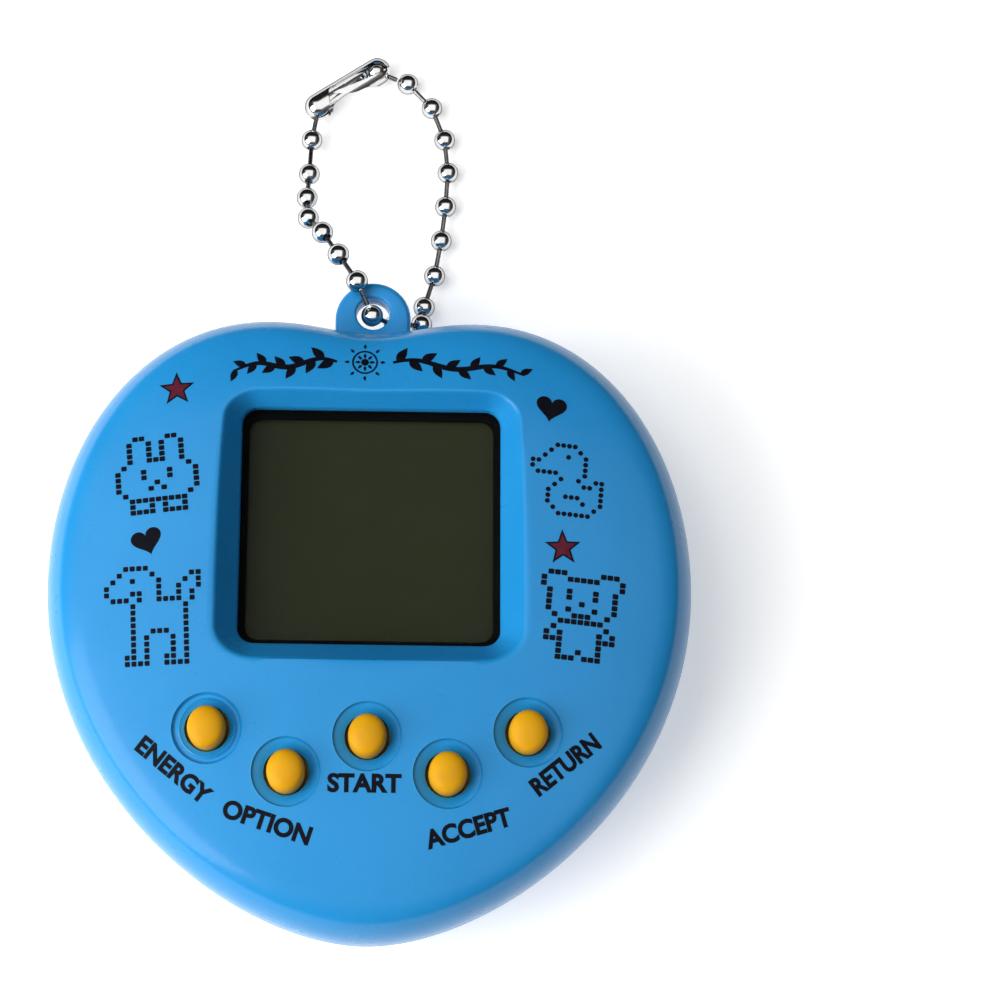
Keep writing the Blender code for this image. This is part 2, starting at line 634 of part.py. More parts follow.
def make_button(name, place):
    x, y = place
    top = face_height(x, y) + BUTTON_PROUD
    flange_low, flange_high = FLANGE_Z
    crown = [(BUTTON_RADIUS * share, top - drop) for share, drop in CROWN]
    cap = crown + [(BUTTON_RADIUS, flange_high), (FLANGE_RADIUS, flange_high),
                   (FLANGE_RADIUS, flange_low), (STEM_RADIUS, flange_low),
                   (STEM_RADIUS, STEM_BOTTOM_Z), (0, STEM_BOTTOM_Z)]
    lathe(f"button_{name}", cap, "yellow_plastic", (x, y, 0), 18)
    dome = [(0, DOME_TOP_Z), (1.5, DOME_TOP_Z), (1.7, 10.9), (2.5, 9.3), (2.9, 9.1), (2.9, DOME_BASE_Z),
            (2.2, DOME_BASE_Z), (1.2, 10.4), (0, 10.4)]
    lathe(f"rubber_dome_{name}", dome, "grey_rubber", (x, y, 0), 12)


# ---------------------------------------------------------------- screws


def make_screw(name, place, head_low, shank_top):
    """A pan-head screw with its head down and a cross recess in it."""
    head_high = head_low + HEAD_HEIGHT
    profile = [(0, shank_top), (SHANK_RADIUS - 0.3, shank_top), (SHANK_RADIUS, shank_top - 0.5),
               (SHANK_RADIUS, head_high), (HEAD_RADIUS, head_high), (HEAD_RADIUS, head_low + 0.5),
               (HEAD_RADIUS - 0.4, head_low), (0, head_low)]
    screw = lathe(name, profile, "steel", (*place, 0), 16)
    for index, size in enumerate([(2.0, 0.4), (0.4, 2.0)]):
        cut(screw, box(f"{name}_recess_{index}", size, (head_low - 0.5, head_low + 0.6), place))


def make_screws():
    for index, place in enumerate(CASE_SCREWS):
        head_low = COUNTERBORE_Z - HEAD_HEIGHT - HEAD_RECESS
        make_screw(f"case_screw_{index + 1}", place, head_low, CASE_SHANK_TOP_Z)
    for index, place in enumerate(BOARD_SCREWS):
        head_low = BOARD_Z[0] - HEAD_HEIGHT - HEAD_RECESS
        make_screw(f"board_screw_{index + 1}", place, head_low, BOARD_SHANK_TOP_Z)
    door_profile = [(0, 4.0), (SHANK_RADIUS - 0.3, 4.0), (SHANK_RADIUS, 3.5), (SHANK_RADIUS, 0.5),
                    (HEAD_RADIUS, 0.5), (HEAD_RADIUS - 0.3, 0.05), (0, 0.05)]
    screw = lathe("door_screw", door_profile, "steel", (*DOOR_SCREW, 0), 16)
    for index, size in enumerate([(1.8, 0.35), (0.35, 1.8)]):
        cut(screw, box(f"door_screw_recess_{index}", size, (-0.5, 0.4), DOOR_SCREW))


# ---------------------------------------------------------------- chain


def bead_profile(pin_length):
    """A round bead with its pin pointing up; pin_length is measured from the bead's centre."""
    neck = math.asin(PIN_RADIUS / BEAD_RADIUS)
    profile = [(0, pin_length), (PIN_RADIUS, pin_length)] if pin_length else [(0, BEAD_RADIUS)]
    first = neck if pin_length else math.radians(20)
    bands = 7
    for band in range(bands):
        angle = first + (math.pi - first) * band / bands
        profile.append((BEAD_RADIUS * math.sin(angle), BEAD_RADIUS * math.cos(angle)))
    return profile + [(0, -BEAD_RADIUS)]


def make_axis(name, place, parent=None):
    axis = bpy.data.objects.new(name, None)
    PART.objects.link(axis)
    axis["place"] = place
    axis.parent = parent
    origin = Vector(parent["place"]) if parent else Vector((0, 0, 0))
    axis.location = (Vector(place) - origin) * MM
    return axis


def make_bead(index, place, towards, axis, clearance=PIN_CLEARANCE):
    """A bead at its place, with its pin reaching towards the bead before it."""
    centre = Vector(place)
    reach = Vector(towards) - centre if towards else Vector((0, 0, 1))
    pin_length = reach.length - BEAD_RADIUS - clearance if towards else 0
    bead = lathe(f"chain_bead_{index:02d}", bead_profile(pin_length), "chrome", steps=12)
    bead.parent = axis
    bead.location = (centre - Vector(axis["place"])) * MM
    bead.rotation_mode = "QUATERNION"
    bead.rotation_quaternion = Vector((0, 0, 1)).rotation_difference(reach)
    return bead


def capsule_profile(radius, half_length):
    profile = []
    for step in range(5):
        angle = math.radians(22.5 * step)
        profile.append((radius * math.sin(angle), half_length - radius + radius * math.cos(angle)))
    return profile + [(r, -z) for r, z in reversed(profile)]


def make_clasp(axis):
    """Folded connector: a round channel, open towards the loop and slotted at both ends."""
    left, right = Vector(LEFT_STRAND[-1]), Vector(RIGHT_STRAND[-1])
    middle = (left + right) / 2
    turn = (right - left).to_track_quat("Z", "Y")
    clasp = lathe("chain_clasp", capsule_profile(CLASP_RADIUS, CLASP_LENGTH / 2), "chrome", steps=14)
    bore_half_length = CLASP_LENGTH / 2 - CLASP_RADIUS + CLASP_BORE
    bore = lathe("clasp_bore", capsule_profile(CLASP_BORE, bore_half_length), steps=14)
    inward = LOOP_MIDDLE - Vector((middle.x, middle.y, 0))
    side = inward - inward.project(right - left)
    mouth_half_length = MOUTH_SHARE * CLASP_LENGTH / 2
    mouth = box("clasp_mouth", (4.0, 4.0), (-mouth_half_length, mouth_half_length))
    slots = box("clasp_slots", (SLOT_WIDTH, 4.0), (-CLASP_LENGTH, CLASP_LENGTH))
    for piece in (clasp, bore, mouth, slots):
        piece.rotation_mode = "QUATERNION"
        piece.rotation_quaternion = turn
        piece.location = middle * MM
    clasp.parent = axis
    clasp.location = (middle - Vector(axis["place"])) * MM
    side.normalize()
    mouth.location = (middle + side * MOUTH_REACH) * MM
    slots.location = (middle + side * SLOT_REACH) * MM
    bpy.context.view_layer.update()
    for piece in (mouth, slots):
        across = turn.inverted() @ side
        piece.rotation_quaternion = turn @ Vector((0, 1, 0)).rotation_difference(across)
    cut(clasp, bore, mouth, slots)
    return clasp


def make_chain():
    swing = make_axis("chain_swing_axis", EYE_BEAD)
    tail = make_axis("chain_tail_axis", EYE_BEAD)
    bend = make_axis("left_bend_axis", LEFT_STRAND[2], swing)
    turn = make_axis("right_bend_axis", RIGHT_STRAND[0], swing)
    clasp_axis = make_axis("clasp_axis", LEFT_STRAND[-1], bend)
    make_bead(1, EYE_BEAD, None, tail)
    make_bead(2, UNDER_BEAD, EYE_BEAD, tail)
    for step, place in enumerate(LEFT_STRAND):
        before = LEFT_STRAND[step - 1] if step else EYE_BEAD
        make_bead(3 + step, place, before, swing if step < 3 else bend)
    for step, place in enumerate(RIGHT_STRAND[:-1]):
        before = RIGHT_STRAND[step - 1] if step else UNDER_BEAD
        make_bead(11 + step, place, before, turn if step else swing)
    make_bead(20, RIGHT_STRAND[-1], RIGHT_STRAND[-2], clasp_axis, OPEN_PIVOT_CLEARANCE)
    make_clasp(clasp_axis)


make_front_shell()
make_rear_shell()
make_screen()
make_board()
make_batteries()
make_battery_door()
for button_name, button_place in BUTTON_PLACES.items():
    make_button(button_name, button_place)
make_screws()
make_chain()
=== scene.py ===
import json
import math

import bmesh
import bpy
import numpy as np
from mathutils import Matrix, Vector
from mathutils.geometry import delaunay_2d_cdt, tessellate_polygon


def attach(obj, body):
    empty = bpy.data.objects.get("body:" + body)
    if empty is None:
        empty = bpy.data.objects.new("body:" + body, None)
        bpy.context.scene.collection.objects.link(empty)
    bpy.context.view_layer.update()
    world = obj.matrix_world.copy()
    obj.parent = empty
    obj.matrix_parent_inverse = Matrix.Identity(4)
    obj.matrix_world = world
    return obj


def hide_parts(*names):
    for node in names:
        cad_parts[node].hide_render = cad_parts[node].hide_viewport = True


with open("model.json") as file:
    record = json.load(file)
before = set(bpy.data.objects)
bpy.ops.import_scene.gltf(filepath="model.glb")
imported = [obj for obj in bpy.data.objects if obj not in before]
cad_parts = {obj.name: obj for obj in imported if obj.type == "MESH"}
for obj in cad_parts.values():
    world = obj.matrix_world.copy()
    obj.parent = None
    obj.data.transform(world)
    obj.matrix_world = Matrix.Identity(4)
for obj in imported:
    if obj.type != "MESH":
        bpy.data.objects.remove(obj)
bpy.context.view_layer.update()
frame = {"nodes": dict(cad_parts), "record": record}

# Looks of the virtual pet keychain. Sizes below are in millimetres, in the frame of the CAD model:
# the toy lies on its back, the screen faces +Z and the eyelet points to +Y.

MM = 0.001

# ---- camera, floor and lights

CAMERA_TILT = 13.0
CAMERA_ROLL = 0.8
CAMERA_DISTANCE = 230.0
CAMERA_AIM = (0.0, 13.2, 8.5)
FRAME_WIDTH = 94.4
FRAME_SHIFT = 0.1294
SENSOR = 36.0


def make_camera():
    tilt = math.radians(CAMERA_TILT)
    data = bpy.data.cameras.new("camera")
    data.sensor_width = SENSOR
    data.lens = SENSOR * CAMERA_DISTANCE / FRAME_WIDTH
    data.shift_x = FRAME_SHIFT
    data.clip_start = 0.01
    data.clip_end = 10.0
    camera = bpy.data.objects.new("camera", data)
    bpy.context.scene.collection.objects.link(camera)
    back = Vector((0, -math.sin(tilt), math.cos(tilt))) * CAMERA_DISTANCE
    turn = Matrix.Rotation(tilt, 4, "X") @ Matrix.Rotation(math.radians(CAMERA_ROLL), 4, "Z")
    camera.matrix_world = Matrix.Translation((Vector(CAMERA_AIM) + back) * MM) @ turn
    bpy.context.scene.camera = camera


def make_area_light(name, place, aim, size, power, fills=True, shines=True):
    """A soft light; fills says that it lights surfaces, shines that it is seen in reflections."""
    data = bpy.data.lights.new(name, "AREA")
    data.shape = "RECTANGLE"
    data.size, data.size_y = size[0] * MM, size[1] * MM
    data.energy = power
    light = bpy.data.objects.new(name, data)
    bpy.context.scene.collection.objects.link(light)
    light.visible_diffuse = fills
    light.visible_glossy = shines
    light.location = Vector(place) * MM
    light.rotation_euler = (Vector(aim) - Vector(place)).to_track_quat("-Z", "Y").to_euler()


# Brightness of the studio round the toy: from the front (0) over the top to the back (1), and
# from left (0) over the top to the right (1).
FRONT_TO_BACK = ((0.0, 0.05), (0.13, 0.09), (0.23, 0.42), (0.5, 0.46), (0.7, 0.38), (0.77, 0.02),
                 (1.0, 0.02))
LEFT_TO_RIGHT = ((0.0, 0.1), (0.1, 0.15), (0.24, 1.0), (0.76, 1.0), (0.9, 0.15), (1.0, 0.1))


def make_world():
    """A soft white studio with dark sides and a dark back, which give the chain its dark bands."""
    world = bpy.data.worlds.new("studio")
    world.use_nodes = True
    nodes, links = world.node_tree.nodes, world.node_tree.links
    split = nodes.new("ShaderNodeSeparateXYZ")
    links.new(nodes.new("ShaderNodeTexCoord").outputs["Generated"], split.inputs["Vector"])
    product = nodes.new("ShaderNodeMix")
    product.data_type = "RGBA"
    product.blend_type = "MULTIPLY"
    product.inputs["Factor"].default_value = 1.0
    for axis, socket, stops in (("Y", "A", FRONT_TO_BACK), ("X", "B", LEFT_TO_RIGHT)):
        span = nodes.new("ShaderNodeMapRange")
        span.inputs["From Min"].default_value = -1.0
        ramp = nodes.new("ShaderNodeValToRGB")
        for index, (position, level) in enumerate(stops):
            elements = ramp.color_ramp.elements
            stop = elements[index] if index < 2 else elements.new(position)
            stop.position = position
            stop.color = (level, level, level, 1.0)
        links.new(split.outputs[axis], span.inputs["Value"])
        links.new(span.outputs["Result"], ramp.inputs["Fac"])
        links.new(ramp.outputs["Color"], product.inputs[socket])
    links.new(product.outputs["Result"], nodes["Background"].inputs["Color"])
    bpy.context.scene.world = world


bpy.context.scene.view_settings.view_transform = "Standard"
make_camera()
make_world()
make_area_light("key_left", (-290, -140, 220), (0, 0, 8), (300, 300), 1.65)
make_area_light("fill_top", (-200, 80, 330), (0, 20, 8), (300, 300), 0.85, shines=False)
make_area_light("card_over", (0, -20, 330), (0, -10, 0), (560, 420), 0.7, fills=False)

# ---- materials

NOISE_SPAN = (0.3, 0.7)
ROUGHNESS_GRAIN = 2.7
SPECKLE_EDGE = (0.72, 0.76)


def set_constants(shader, constants):
    for name, value in constants.items():
        shader.inputs[name.replace("_", " ")].default_value = value


def make_material(name, colours, grain, roughness, bumps=(), speckle=None, **constants):
    """Principled material: colours and roughness vary by noise of a given grain, in features per metre.

    bumps are (features per metre, depth in metres). speckle is (features per metre, colour, share).
    """
    material = bpy.data.materials.new(name)
    material.use_nodes = True
    nodes, links = material.node_tree.nodes, material.node_tree.links
    shader = nodes["Principled BSDF"]
    place = nodes.new("ShaderNodeTexCoord").outputs["Object"]

    def noise(scale, detail=4.0):
        node = nodes.new("ShaderNodeTexNoise")
        node.inputs["Scale"].default_value = scale
        node.inputs["Detail"].default_value = detail
        links.new(place, node.inputs["Vector"])
        return node.outputs["Fac"]

    def ramp(source, low, high, start=0.35, end=0.65):
        node = nodes.new("ShaderNodeValToRGB")
        node.color_ramp.elements[0].position = start
        node.color_ramp.elements[1].position = end
        node.color_ramp.elements[0].color = (*low, 1.0)
        node.color_ramp.elements[1].color = (*high, 1.0)
        links.new(source, node.inputs["Fac"])
        return node.outputs["Color"]

    colour = ramp(noise(grain), *colours)
    if speckle:
        scale, tint, share = speckle
        mask = ramp(noise(scale, 2.0), (0, 0, 0), (1, 1, 1), *(edge - share for edge in SPECKLE_EDGE))
        mix = nodes.new("ShaderNodeMix")
        mix.data_type = "RGBA"
        mix.inputs["B"].default_value = (*tint, 1.0)
        links.new(mask, mix.inputs["Factor"])
        links.new(colour, mix.inputs["A"])
        colour = mix.outputs["Result"]
    links.new(colour, shader.inputs["Base Color"])

    span = nodes.new("ShaderNodeMapRange")
    span.inputs["From Min"].default_value, span.inputs["From Max"].default_value = NOISE_SPAN
    span.inputs["To Min"].default_value, span.inputs["To Max"].default_value = roughness
    links.new(noise(grain * ROUGHNESS_GRAIN, 6.0), span.inputs["Value"])
    links.new(span.outputs["Result"], shader.inputs["Roughness"])

    normal = None
    for scale, depth in bumps:
        bump = nodes.new("ShaderNodeBump")
        bump.inputs["Strength"].default_value = 1.0
        bump.inputs["Distance"].default_value = depth
        links.new(noise(scale, 3.0), bump.inputs["Height"])
        if normal:
            links.new(normal, bump.inputs["Normal"])
        normal = bump.outputs["Normal"]
    if normal:
        links.new(normal, shader.inputs["Normal"])
    set_constants(shader, constants)
    return material


MATERIALS = {
    "case": make_material(
        "milky_blue_plastic", ((0.013, 0.24, 0.56), (0.016, 0.255, 0.585)), 90, (0.26, 0.32),
        [(900, 4e-6), (9000, 6e-7)], Subsurface_Weight=0.12, Subsurface_Radius=(0.25, 0.6, 1.0),
        Subsurface_Scale=0.0015, IOR=1.4, Specular_IOR_Level=0.3, Coat_Weight=0.15, Coat_IOR=1.35,
        Coat_Roughness=0.07),
    "button": make_material(
        "yellow_plastic", ((0.62, 0.3, 0.001), (0.68, 0.335, 0.002)), 400, (0.42, 0.5),
        [(5000, 2e-6), (20000, 1e-6)], Subsurface_Weight=0.1, Subsurface_Radius=(1.0, 0.5, 0.1),
        Subsurface_Scale=0.001, Specular_IOR_Level=0.15),
    "ink": make_material(
        "black_ink", ((0.001, 0.001, 0.004), (0.003, 0.003, 0.008)), 1500, (0.45, 0.6),
        [(6000, 2e-6)], speckle=(9000, (0.006, 0.02, 0.05), 0.0), Specular_IOR_Level=0.08),
    "ink_red": make_material(
        "maroon_ink", ((0.07, 0.004, 0.015), (0.1, 0.008, 0.024)), 1500, (0.45, 0.6),
        [(6000, 2e-6)], Specular_IOR_Level=0.15),
    "lens": make_material(
        "clear_window", ((0.01, 0.012, 0.01), (0.014, 0.016, 0.014)), 200, (0.05, 0.09),
        [(400, 1e-6)], Alpha=0.05, Specular_IOR_Level=0.1),
    "lcd": make_material(
        "lcd_glass", ((0.0155, 0.0195, 0.0065), (0.018, 0.0225, 0.008)), 60, (0.3, 0.4),
        [(2500, 2e-7)], Specular_IOR_Level=0.1),
    # The near-black gasket is partly a real black gasket and partly painted shade for the dark inside of
    # the window's opening.
    "foam": make_material(
        "black_foam", ((0.001, 0.0012, 0.0014), (0.003, 0.0034, 0.004)), 6000, (0.85, 0.95),
        [(7000, 2e-5)], Specular_IOR_Level=0.02),
    # Painted reflection: the black Specular_Tint darkens the plating towards the outline of each bead,
    # drawing a dark rim.
    "chrome": make_material(
        "bright_plating", ((0.62, 0.62, 0.62), (0.7, 0.7, 0.7)), 700, (0.05, 0.1),
        [(1500, 3e-6), (12000, 5e-7)], Metallic=1.0, Specular_Tint=(0.0, 0.0, 0.0, 1.0)),
    # Painted shade and dark reflection: the pins are coloured far darker than the beads' plating, with a
    # dark edge tint, so that they show dark between the beads.
    "pin": make_material(
        "pin_metal_with_painted_shade", ((0.16, 0.16, 0.16), (0.24, 0.24, 0.24)), 1500, (0.2, 0.3), [(4000, 2e-6)],
        Metallic=1.0, Specular_Tint=(0.12, 0.12, 0.12, 1.0)),
    "steel": make_material(
        "plated_steel", ((0.5, 0.5, 0.51), (0.6, 0.6, 0.6)), 900, (0.24, 0.36), [(4000, 2e-6)],
        Metallic=1.0),
    "brass": make_material(
        "brass_sheet", ((0.62, 0.40, 0.13), (0.72, 0.49, 0.18)), 700, (0.25, 0.38), [(3000, 2e-6)],
        Metallic=1.0),
    "silver": make_material(
        "silver_film", ((0.55, 0.55, 0.54), (0.64, 0.64, 0.62)), 500, (0.3, 0.4), [(2000, 2e-6)],
        Metallic=0.8),
    "rubber": make_material(
        "grey_rubber", ((0.2, 0.2, 0.21), (0.27, 0.27, 0.28)), 2000, (0.62, 0.75), [(6000, 6e-6)]),
    "board": make_material(
        "green_board", ((0.008, 0.11, 0.04), (0.014, 0.16, 0.06)), 1200, (0.35, 0.48),
        [(3500, 8e-6)], speckle=(1400, (0.45, 0.3, 0.1), 0.1)),
    "resin": make_material(
        "black_resin", ((0.008, 0.008, 0.01), (0.016, 0.016, 0.018)), 1200, (0.28, 0.45),
        [(2500, 1e-5)]),
    "red_wire": make_material(
        "red_insulation", ((0.5, 0.015, 0.015), (0.6, 0.025, 0.02)), 1800, (0.4, 0.5),
        [(5000, 4e-6)]),
    "ceramic": make_material(
        "ceramic_disc", ((0.7, 0.67, 0.6), (0.78, 0.75, 0.7)), 1500, (0.5, 0.65), [(5000, 5e-6)]),
    "floor": make_material(
        "pale_floor", ((0.86, 0.86, 0.86), (0.9, 0.9, 0.9)), 6, (0.7, 0.8), [(900, 2e-5)],
        Emission_Color=(1.0, 1.0, 1.0, 1.0), Emission_Strength=0.42),
}

# ---- mesh helpers


def finish_mesh(name, bm, material, angle=38.0, second=None):
    """Turns a bmesh in millimetres into a shaded object in metres, with one or two materials."""
    bmesh.ops.recalc_face_normals(bm, faces=bm.faces)
    mesh = bpy.data.meshes.new(name)
    bm.to_mesh(mesh)
    bm.free()
    mesh.transform(Matrix.Scale(MM, 4))
    for look in (material, second) if second else (material,):
        mesh.materials.append(MATERIALS[look])
    mesh.shade_smooth()
    mesh.set_sharp_from_angle(angle=math.radians(angle))
    piece = bpy.data.objects.new(name, mesh)
    bpy.context.scene.collection.objects.link(piece)
    return piece


def join_rings(bm, loops, closed=True):
    """Faces between rings of vertices; a ring of one vertex is a tip."""
    for lower, upper in zip(loops, loops[1:]):
        count = max(len(lower), len(upper))
        for i in range(count if closed else count - 1):
            j = (i + 1) % count
            corners = (lower[i % len(lower)], lower[j % len(lower)],
                       upper[j % len(upper)], upper[i % len(upper)])
            bm.faces.new(list(dict.fromkeys(corners)))


def turned(bm, profile, centre=(0, 0, 0), axis=(0, 0, 1), steps=40):
    """A turned solid in bm; the profile of (radius, height) starts and ends on the axis."""
    turn = Vector((0, 0, 1)).rotation_difference(Vector(axis))
    rings = []
    for radius, height in profile:
        count = 1 if radius == 0 else steps
        angles = [2 * math.pi * step / steps for step in range(count)]
        places = [Vector((radius * math.cos(a), radius * math.sin(a), height)) for a in angles]
        rings.append([bm.verts.new(turn @ place + Vector(centre)) for place in places])
    join_rings(bm, rings)


def add_closed_section(bm, rings):
    """A solid ring through rings of points, whose last ring meets the first."""
    loops = [[bm.verts.new(point) for point in ring] for ring in rings]
    join_rings(bm, loops + loops[:1])


def rounded_rectangle(size, radius, centre=(0.0, 0.0), steps=8, side_steps=1):
    """Points round a rounded rectangle, anticlockwise; side_steps divides its straight sides."""
    corners = []
    for quarter, (sx, sy) in enumerate([(1, 1), (-1, 1), (-1, -1), (1, -1)]):
        cx = centre[0] + sx * (size[0] / 2 - radius)
        cy = centre[1] + sy * (size[1] / 2 - radius)
        angles = [math.radians(90 * (quarter + step / steps)) for step in range(steps + 1)]
        corners.append([(cx + radius * math.cos(a), cy + radius * math.sin(a)) for a in angles])
    points = []
    for corner, following in zip(corners, corners[1:] + corners[:1]):
        points += corner
        (ax, ay), (bx, by) = corner[-1], following[0]
        shares = [step / side_steps for step in range(1, side_steps)]
        points += [(ax + (bx - ax) * share, ay + (by - ay) * share) for share in shares]
    return points


def circle(radius, centre=(0.0, 0.0), steps=64):
    turns = [2 * math.pi * step / steps for step in range(steps)]
    return [(centre[0] + radius * math.cos(a), centre[1] + radius * math.sin(a)) for a in turns]


def smooth_curve(knots, steps):
    """A Catmull-Rom curve through knots of any dimension."""
    knots = [np.array(knot, dtype=float) for knot in knots]
    padded = [2 * knots[0] - knots[1], *knots, 2 * knots[-1] - knots[-2]]
    points = []
    for a, b, c, d in zip(padded, padded[1:], padded[2:], padded[3:]):
        for step in range(steps):
            t = step / steps
            points.append(0.5 * (2 * b + (c - a) * t + (2 * a - 5 * b + 4 * c - d) * t * t
                                 + (3 * b - a - 3 * c + d) * t ** 3))
    return [*points, knots[-1]]


def ease(value):
    """Smooth step from 0 to 1 as value goes from 0 to 1."""
    t = np.clip(value, 0.0, 1.0)
    return t * t * (3 - 2 * t)


def wall_solid(bm, loops, loose, keep, top, bottom, rim=()):
    """A closed solid between two height functions, over the area that the loops bound.

    rim holds rings of points that lead from the first loop's top edge round to its bottom edge.
    """
    points, edges = [], []
    for loop in loops:
        first, count = len(points), len(loop)
        points += loop
        edges += [(first + i, first + (i + 1) % count) for i in range(count)]
    points += loose
    found = delaunay_2d_cdt([Vector(point) for point in points], edges, [], 0, 1e-6)
    places = np.array([tuple(place) for place in found[0]])
    triangles = np.array(found[2])
    middles = places[triangles].mean(axis=1)
    triangles = triangles[keep(middles[:, 0], middles[:, 1])].tolist()
    used = sorted({index for triangle in triangles for index in triangle})
    x, y = places[used].T
    high = {k: bm.verts.new(v) for k, v in zip(used, zip(x, y, top(x, y)))}
    low = {k: bm.verts.new(v) for k, v in zip(used, zip(x, y, bottom(x, y)))}
    sides = {}
    for a, b, c in triangles:
        bm.faces.new((high[a], high[b], high[c]))
        bm.faces.new((low[c], low[b], low[a]))
        for side in ((a, b), (b, c), (c, a)):
            key = tuple(sorted(side))
            sides[key] = sides.get(key, 0) + 1
    home = {source: k for k, sources in enumerate(found[3]) for source in sources}
    outer = [home[i] for i in range(len(loops[0]))]
    skipped = set(outer) if rim else set()
    for (a, b), uses in sides.items():
        if uses == 1 and not (a in skipped and b in skipped):
            bm.faces.new((high[a], high[b], low[b], low[a]))
    if rim:
        rings = [[bm.verts.new(point) for point in ring] for ring in rim]
        join_rings(bm, [[high[k] for k in outer], *rings, [low[k] for k in outer]])


# ---- heart geometry, as in the CAD

HEART_CENTRE = (0.0, 1.5)
OUTLINE_STEPS = (12, 36, 44)
HALF_OUTLINE = (
    ((0.0, 28.9), (3.0, 28.9), (5.8, 30.05), (9.8, 30.05)),
    ((9.8, 30.05), (22.0, 30.05), (30.0, 18.3), (30.0, 4.7)),
    ((30.0, 4.7), (30.0, -14.9), (11.9, -28.3), (0.0, -28.3)),
)
SEAM = 8.5
SEAM_GAP = 0.15
FACE_SCALE = 0.85
# Profiles of the shells: share of the way from the middle to the outline, and height.
FRONT_OUTER = [(0.0, 17.0), (0.25, 16.9), (0.5, 16.55), (0.7, 16.0), (FACE_SCALE, 15.2), (0.925, 14.5),
               (0.955, 13.6), (0.98, 12.2), (0.995, 10.6), (1.0, 8.8)]
FRONT_SEAM_EDGE = [(0.998, 8.64), (0.993, 8.575), (0.95, 8.575)]
FRONT_INNER = [(0.945, 10.4), (0.93, 11.9), (0.905, 12.9), (0.87, 13.5)]
FRONT_CEILING = [(0.0, 15.4), (0.25, 15.3), (0.5, 14.95), (0.7, 14.4), (0.87, 13.5)]
BACK_SCALE = 0.88
REAR_INNER = [(0.9, 2.8), (0.915, 4.6), (0.92, 9.2), (0.942, 9.2), (0.942, 8.425)]
REAR_SEAM_EDGE = [(0.993, 8.425), (0.998, 8.36)]
REAR_OUTER = [(1.0, 8.2), (0.997, 6.5), (0.985, 4.2), (0.96, 2.2), (0.92, 0.8), (0.87, 0.15),
              (0.83, 0.0), (0.7, 0.0)]
REAR_FLOOR = [(0.0, 1.3), (0.82, 1.3), (0.87, 1.7), (BACK_SCALE, 2.0)]
FLOOR_Z = 1.3


def heart_outline():
    half = []
    for corners, steps in zip(HALF_OUTLINE, OUTLINE_STEPS):
        for step in range(steps):
            t = step / steps
            weights = ((1 - t) ** 3, 3 * (1 - t) ** 2 * t, 3 * (1 - t) * t * t, t ** 3)
            half.append(tuple(sum(w * c[axis] for w, c in zip(weights, corners)) for axis in (0, 1)))
    tip = HALF_OUTLINE[-1][-1]
    return half + [tip] + [(-x, y) for x, y in reversed(half[1:])]


HEART = np.array(heart_outline())


def heart_ring(scale, height=None):
    ring = [(HEART_CENTRE[0] + (x - HEART_CENTRE[0]) * scale,
             HEART_CENTRE[1] + (y - HEART_CENTRE[1]) * scale) for x, y in HEART]
    return ring if height is None else [(x, y, height) for x, y in ring]


def outline_share(x, y):
    """How far places are from the middle of the case, as a share of the way to the outline."""
    dx, dy = np.asarray(x) - HEART_CENTRE[0], np.asarray(y) - HEART_CENTRE[1]
    knots = HEART - np.array(HEART_CENTRE)
    angles = np.unwrap(np.arctan2(knots[:, 1], knots[:, 0]))
    order = np.argsort(angles)
    angles, knots = angles[order], knots[order]
    place = (np.arctan2(dy, dx) - angles[0]) % (2 * math.pi) + angles[0]
    a = (np.searchsorted(angles, place, side="right") - 1) % len(knots)
    b = (a + 1) % len(knots)
    area = knots[a, 0] * knots[b, 1] - knots[a, 1] * knots[b, 0]
    u = (dx * knots[b, 1] - dy * knots[b, 0]) / area
    v = (knots[a, 0] * dy - knots[a, 1] * dx) / area
    return u + v


FRONT_PROFILE = np.array(smooth_curve(FRONT_OUTER, 6))
CEILING_PROFILE = np.array(smooth_curve(FRONT_CEILING, 6))

# Screen window and buttons, as in the CAD.
WINDOW_CENTRE = (0.0, 9.55)
WINDOW = (24.0, 22.2)
WINDOW_FLARE = (1.75, 1.45)
WINDOW_CORNER = 1.5
WINDOW_CORNER_GROWTH = 1.6
WINDOW_EDGE_Z = 13.9
WINDOW_FLARE_HEIGHT = 2.3
RIM_SOFTNESS = 0.28
BUTTON_PLACES = {
    "status": (-14.35, -9.65),
    "select": (-7.2, -13.45),
    "reset": (0.0, -10.25),
    "decide": (7.2, -13.45),
    "cancel": (14.35, -9.65),
}
BUTTON_HOLE_RADIUS = 2.05
BUTTON_RADIUS = 1.85
BUTTON_PROUD = 1.96
CAP_STRETCH = (0.93, 1.05)
RING_REACH = 3.4
# Recesses round the buttons: distance from the button's axis, and drop below the dome.
DISH = [(2.05, 0.66), (2.35, 0.5), (2.7, 0.36), (2.98, 0.26), (3.06, 0.15), (3.11, 0.0),
        (3.15, -0.02), (3.2, -0.005), (RING_REACH, 0.0)]
STEPPED_DISH = [(2.05, 0.44), (2.2, 0.38), (2.42, 0.29), (2.51, 0.22), (2.58, 0.24), (2.7, 0.38),
                (2.95, 0.4), (3.1, 0.24), (3.18, 0.02), (3.23, -0.01), (RING_REACH, 0.0)]
UPPER_WALL = 0.9
RING_WALL = 0.6
RING_WALL_MARGIN = 0.2
GRID_ROWS = (-30.0, 32.0)
GRID_COLUMNS = (-31.0, 31.0)


def dome_height(x, y):
    return np.interp(outline_share(x, y), FRONT_PROFILE[:, 0], FRONT_PROFILE[:, 1])


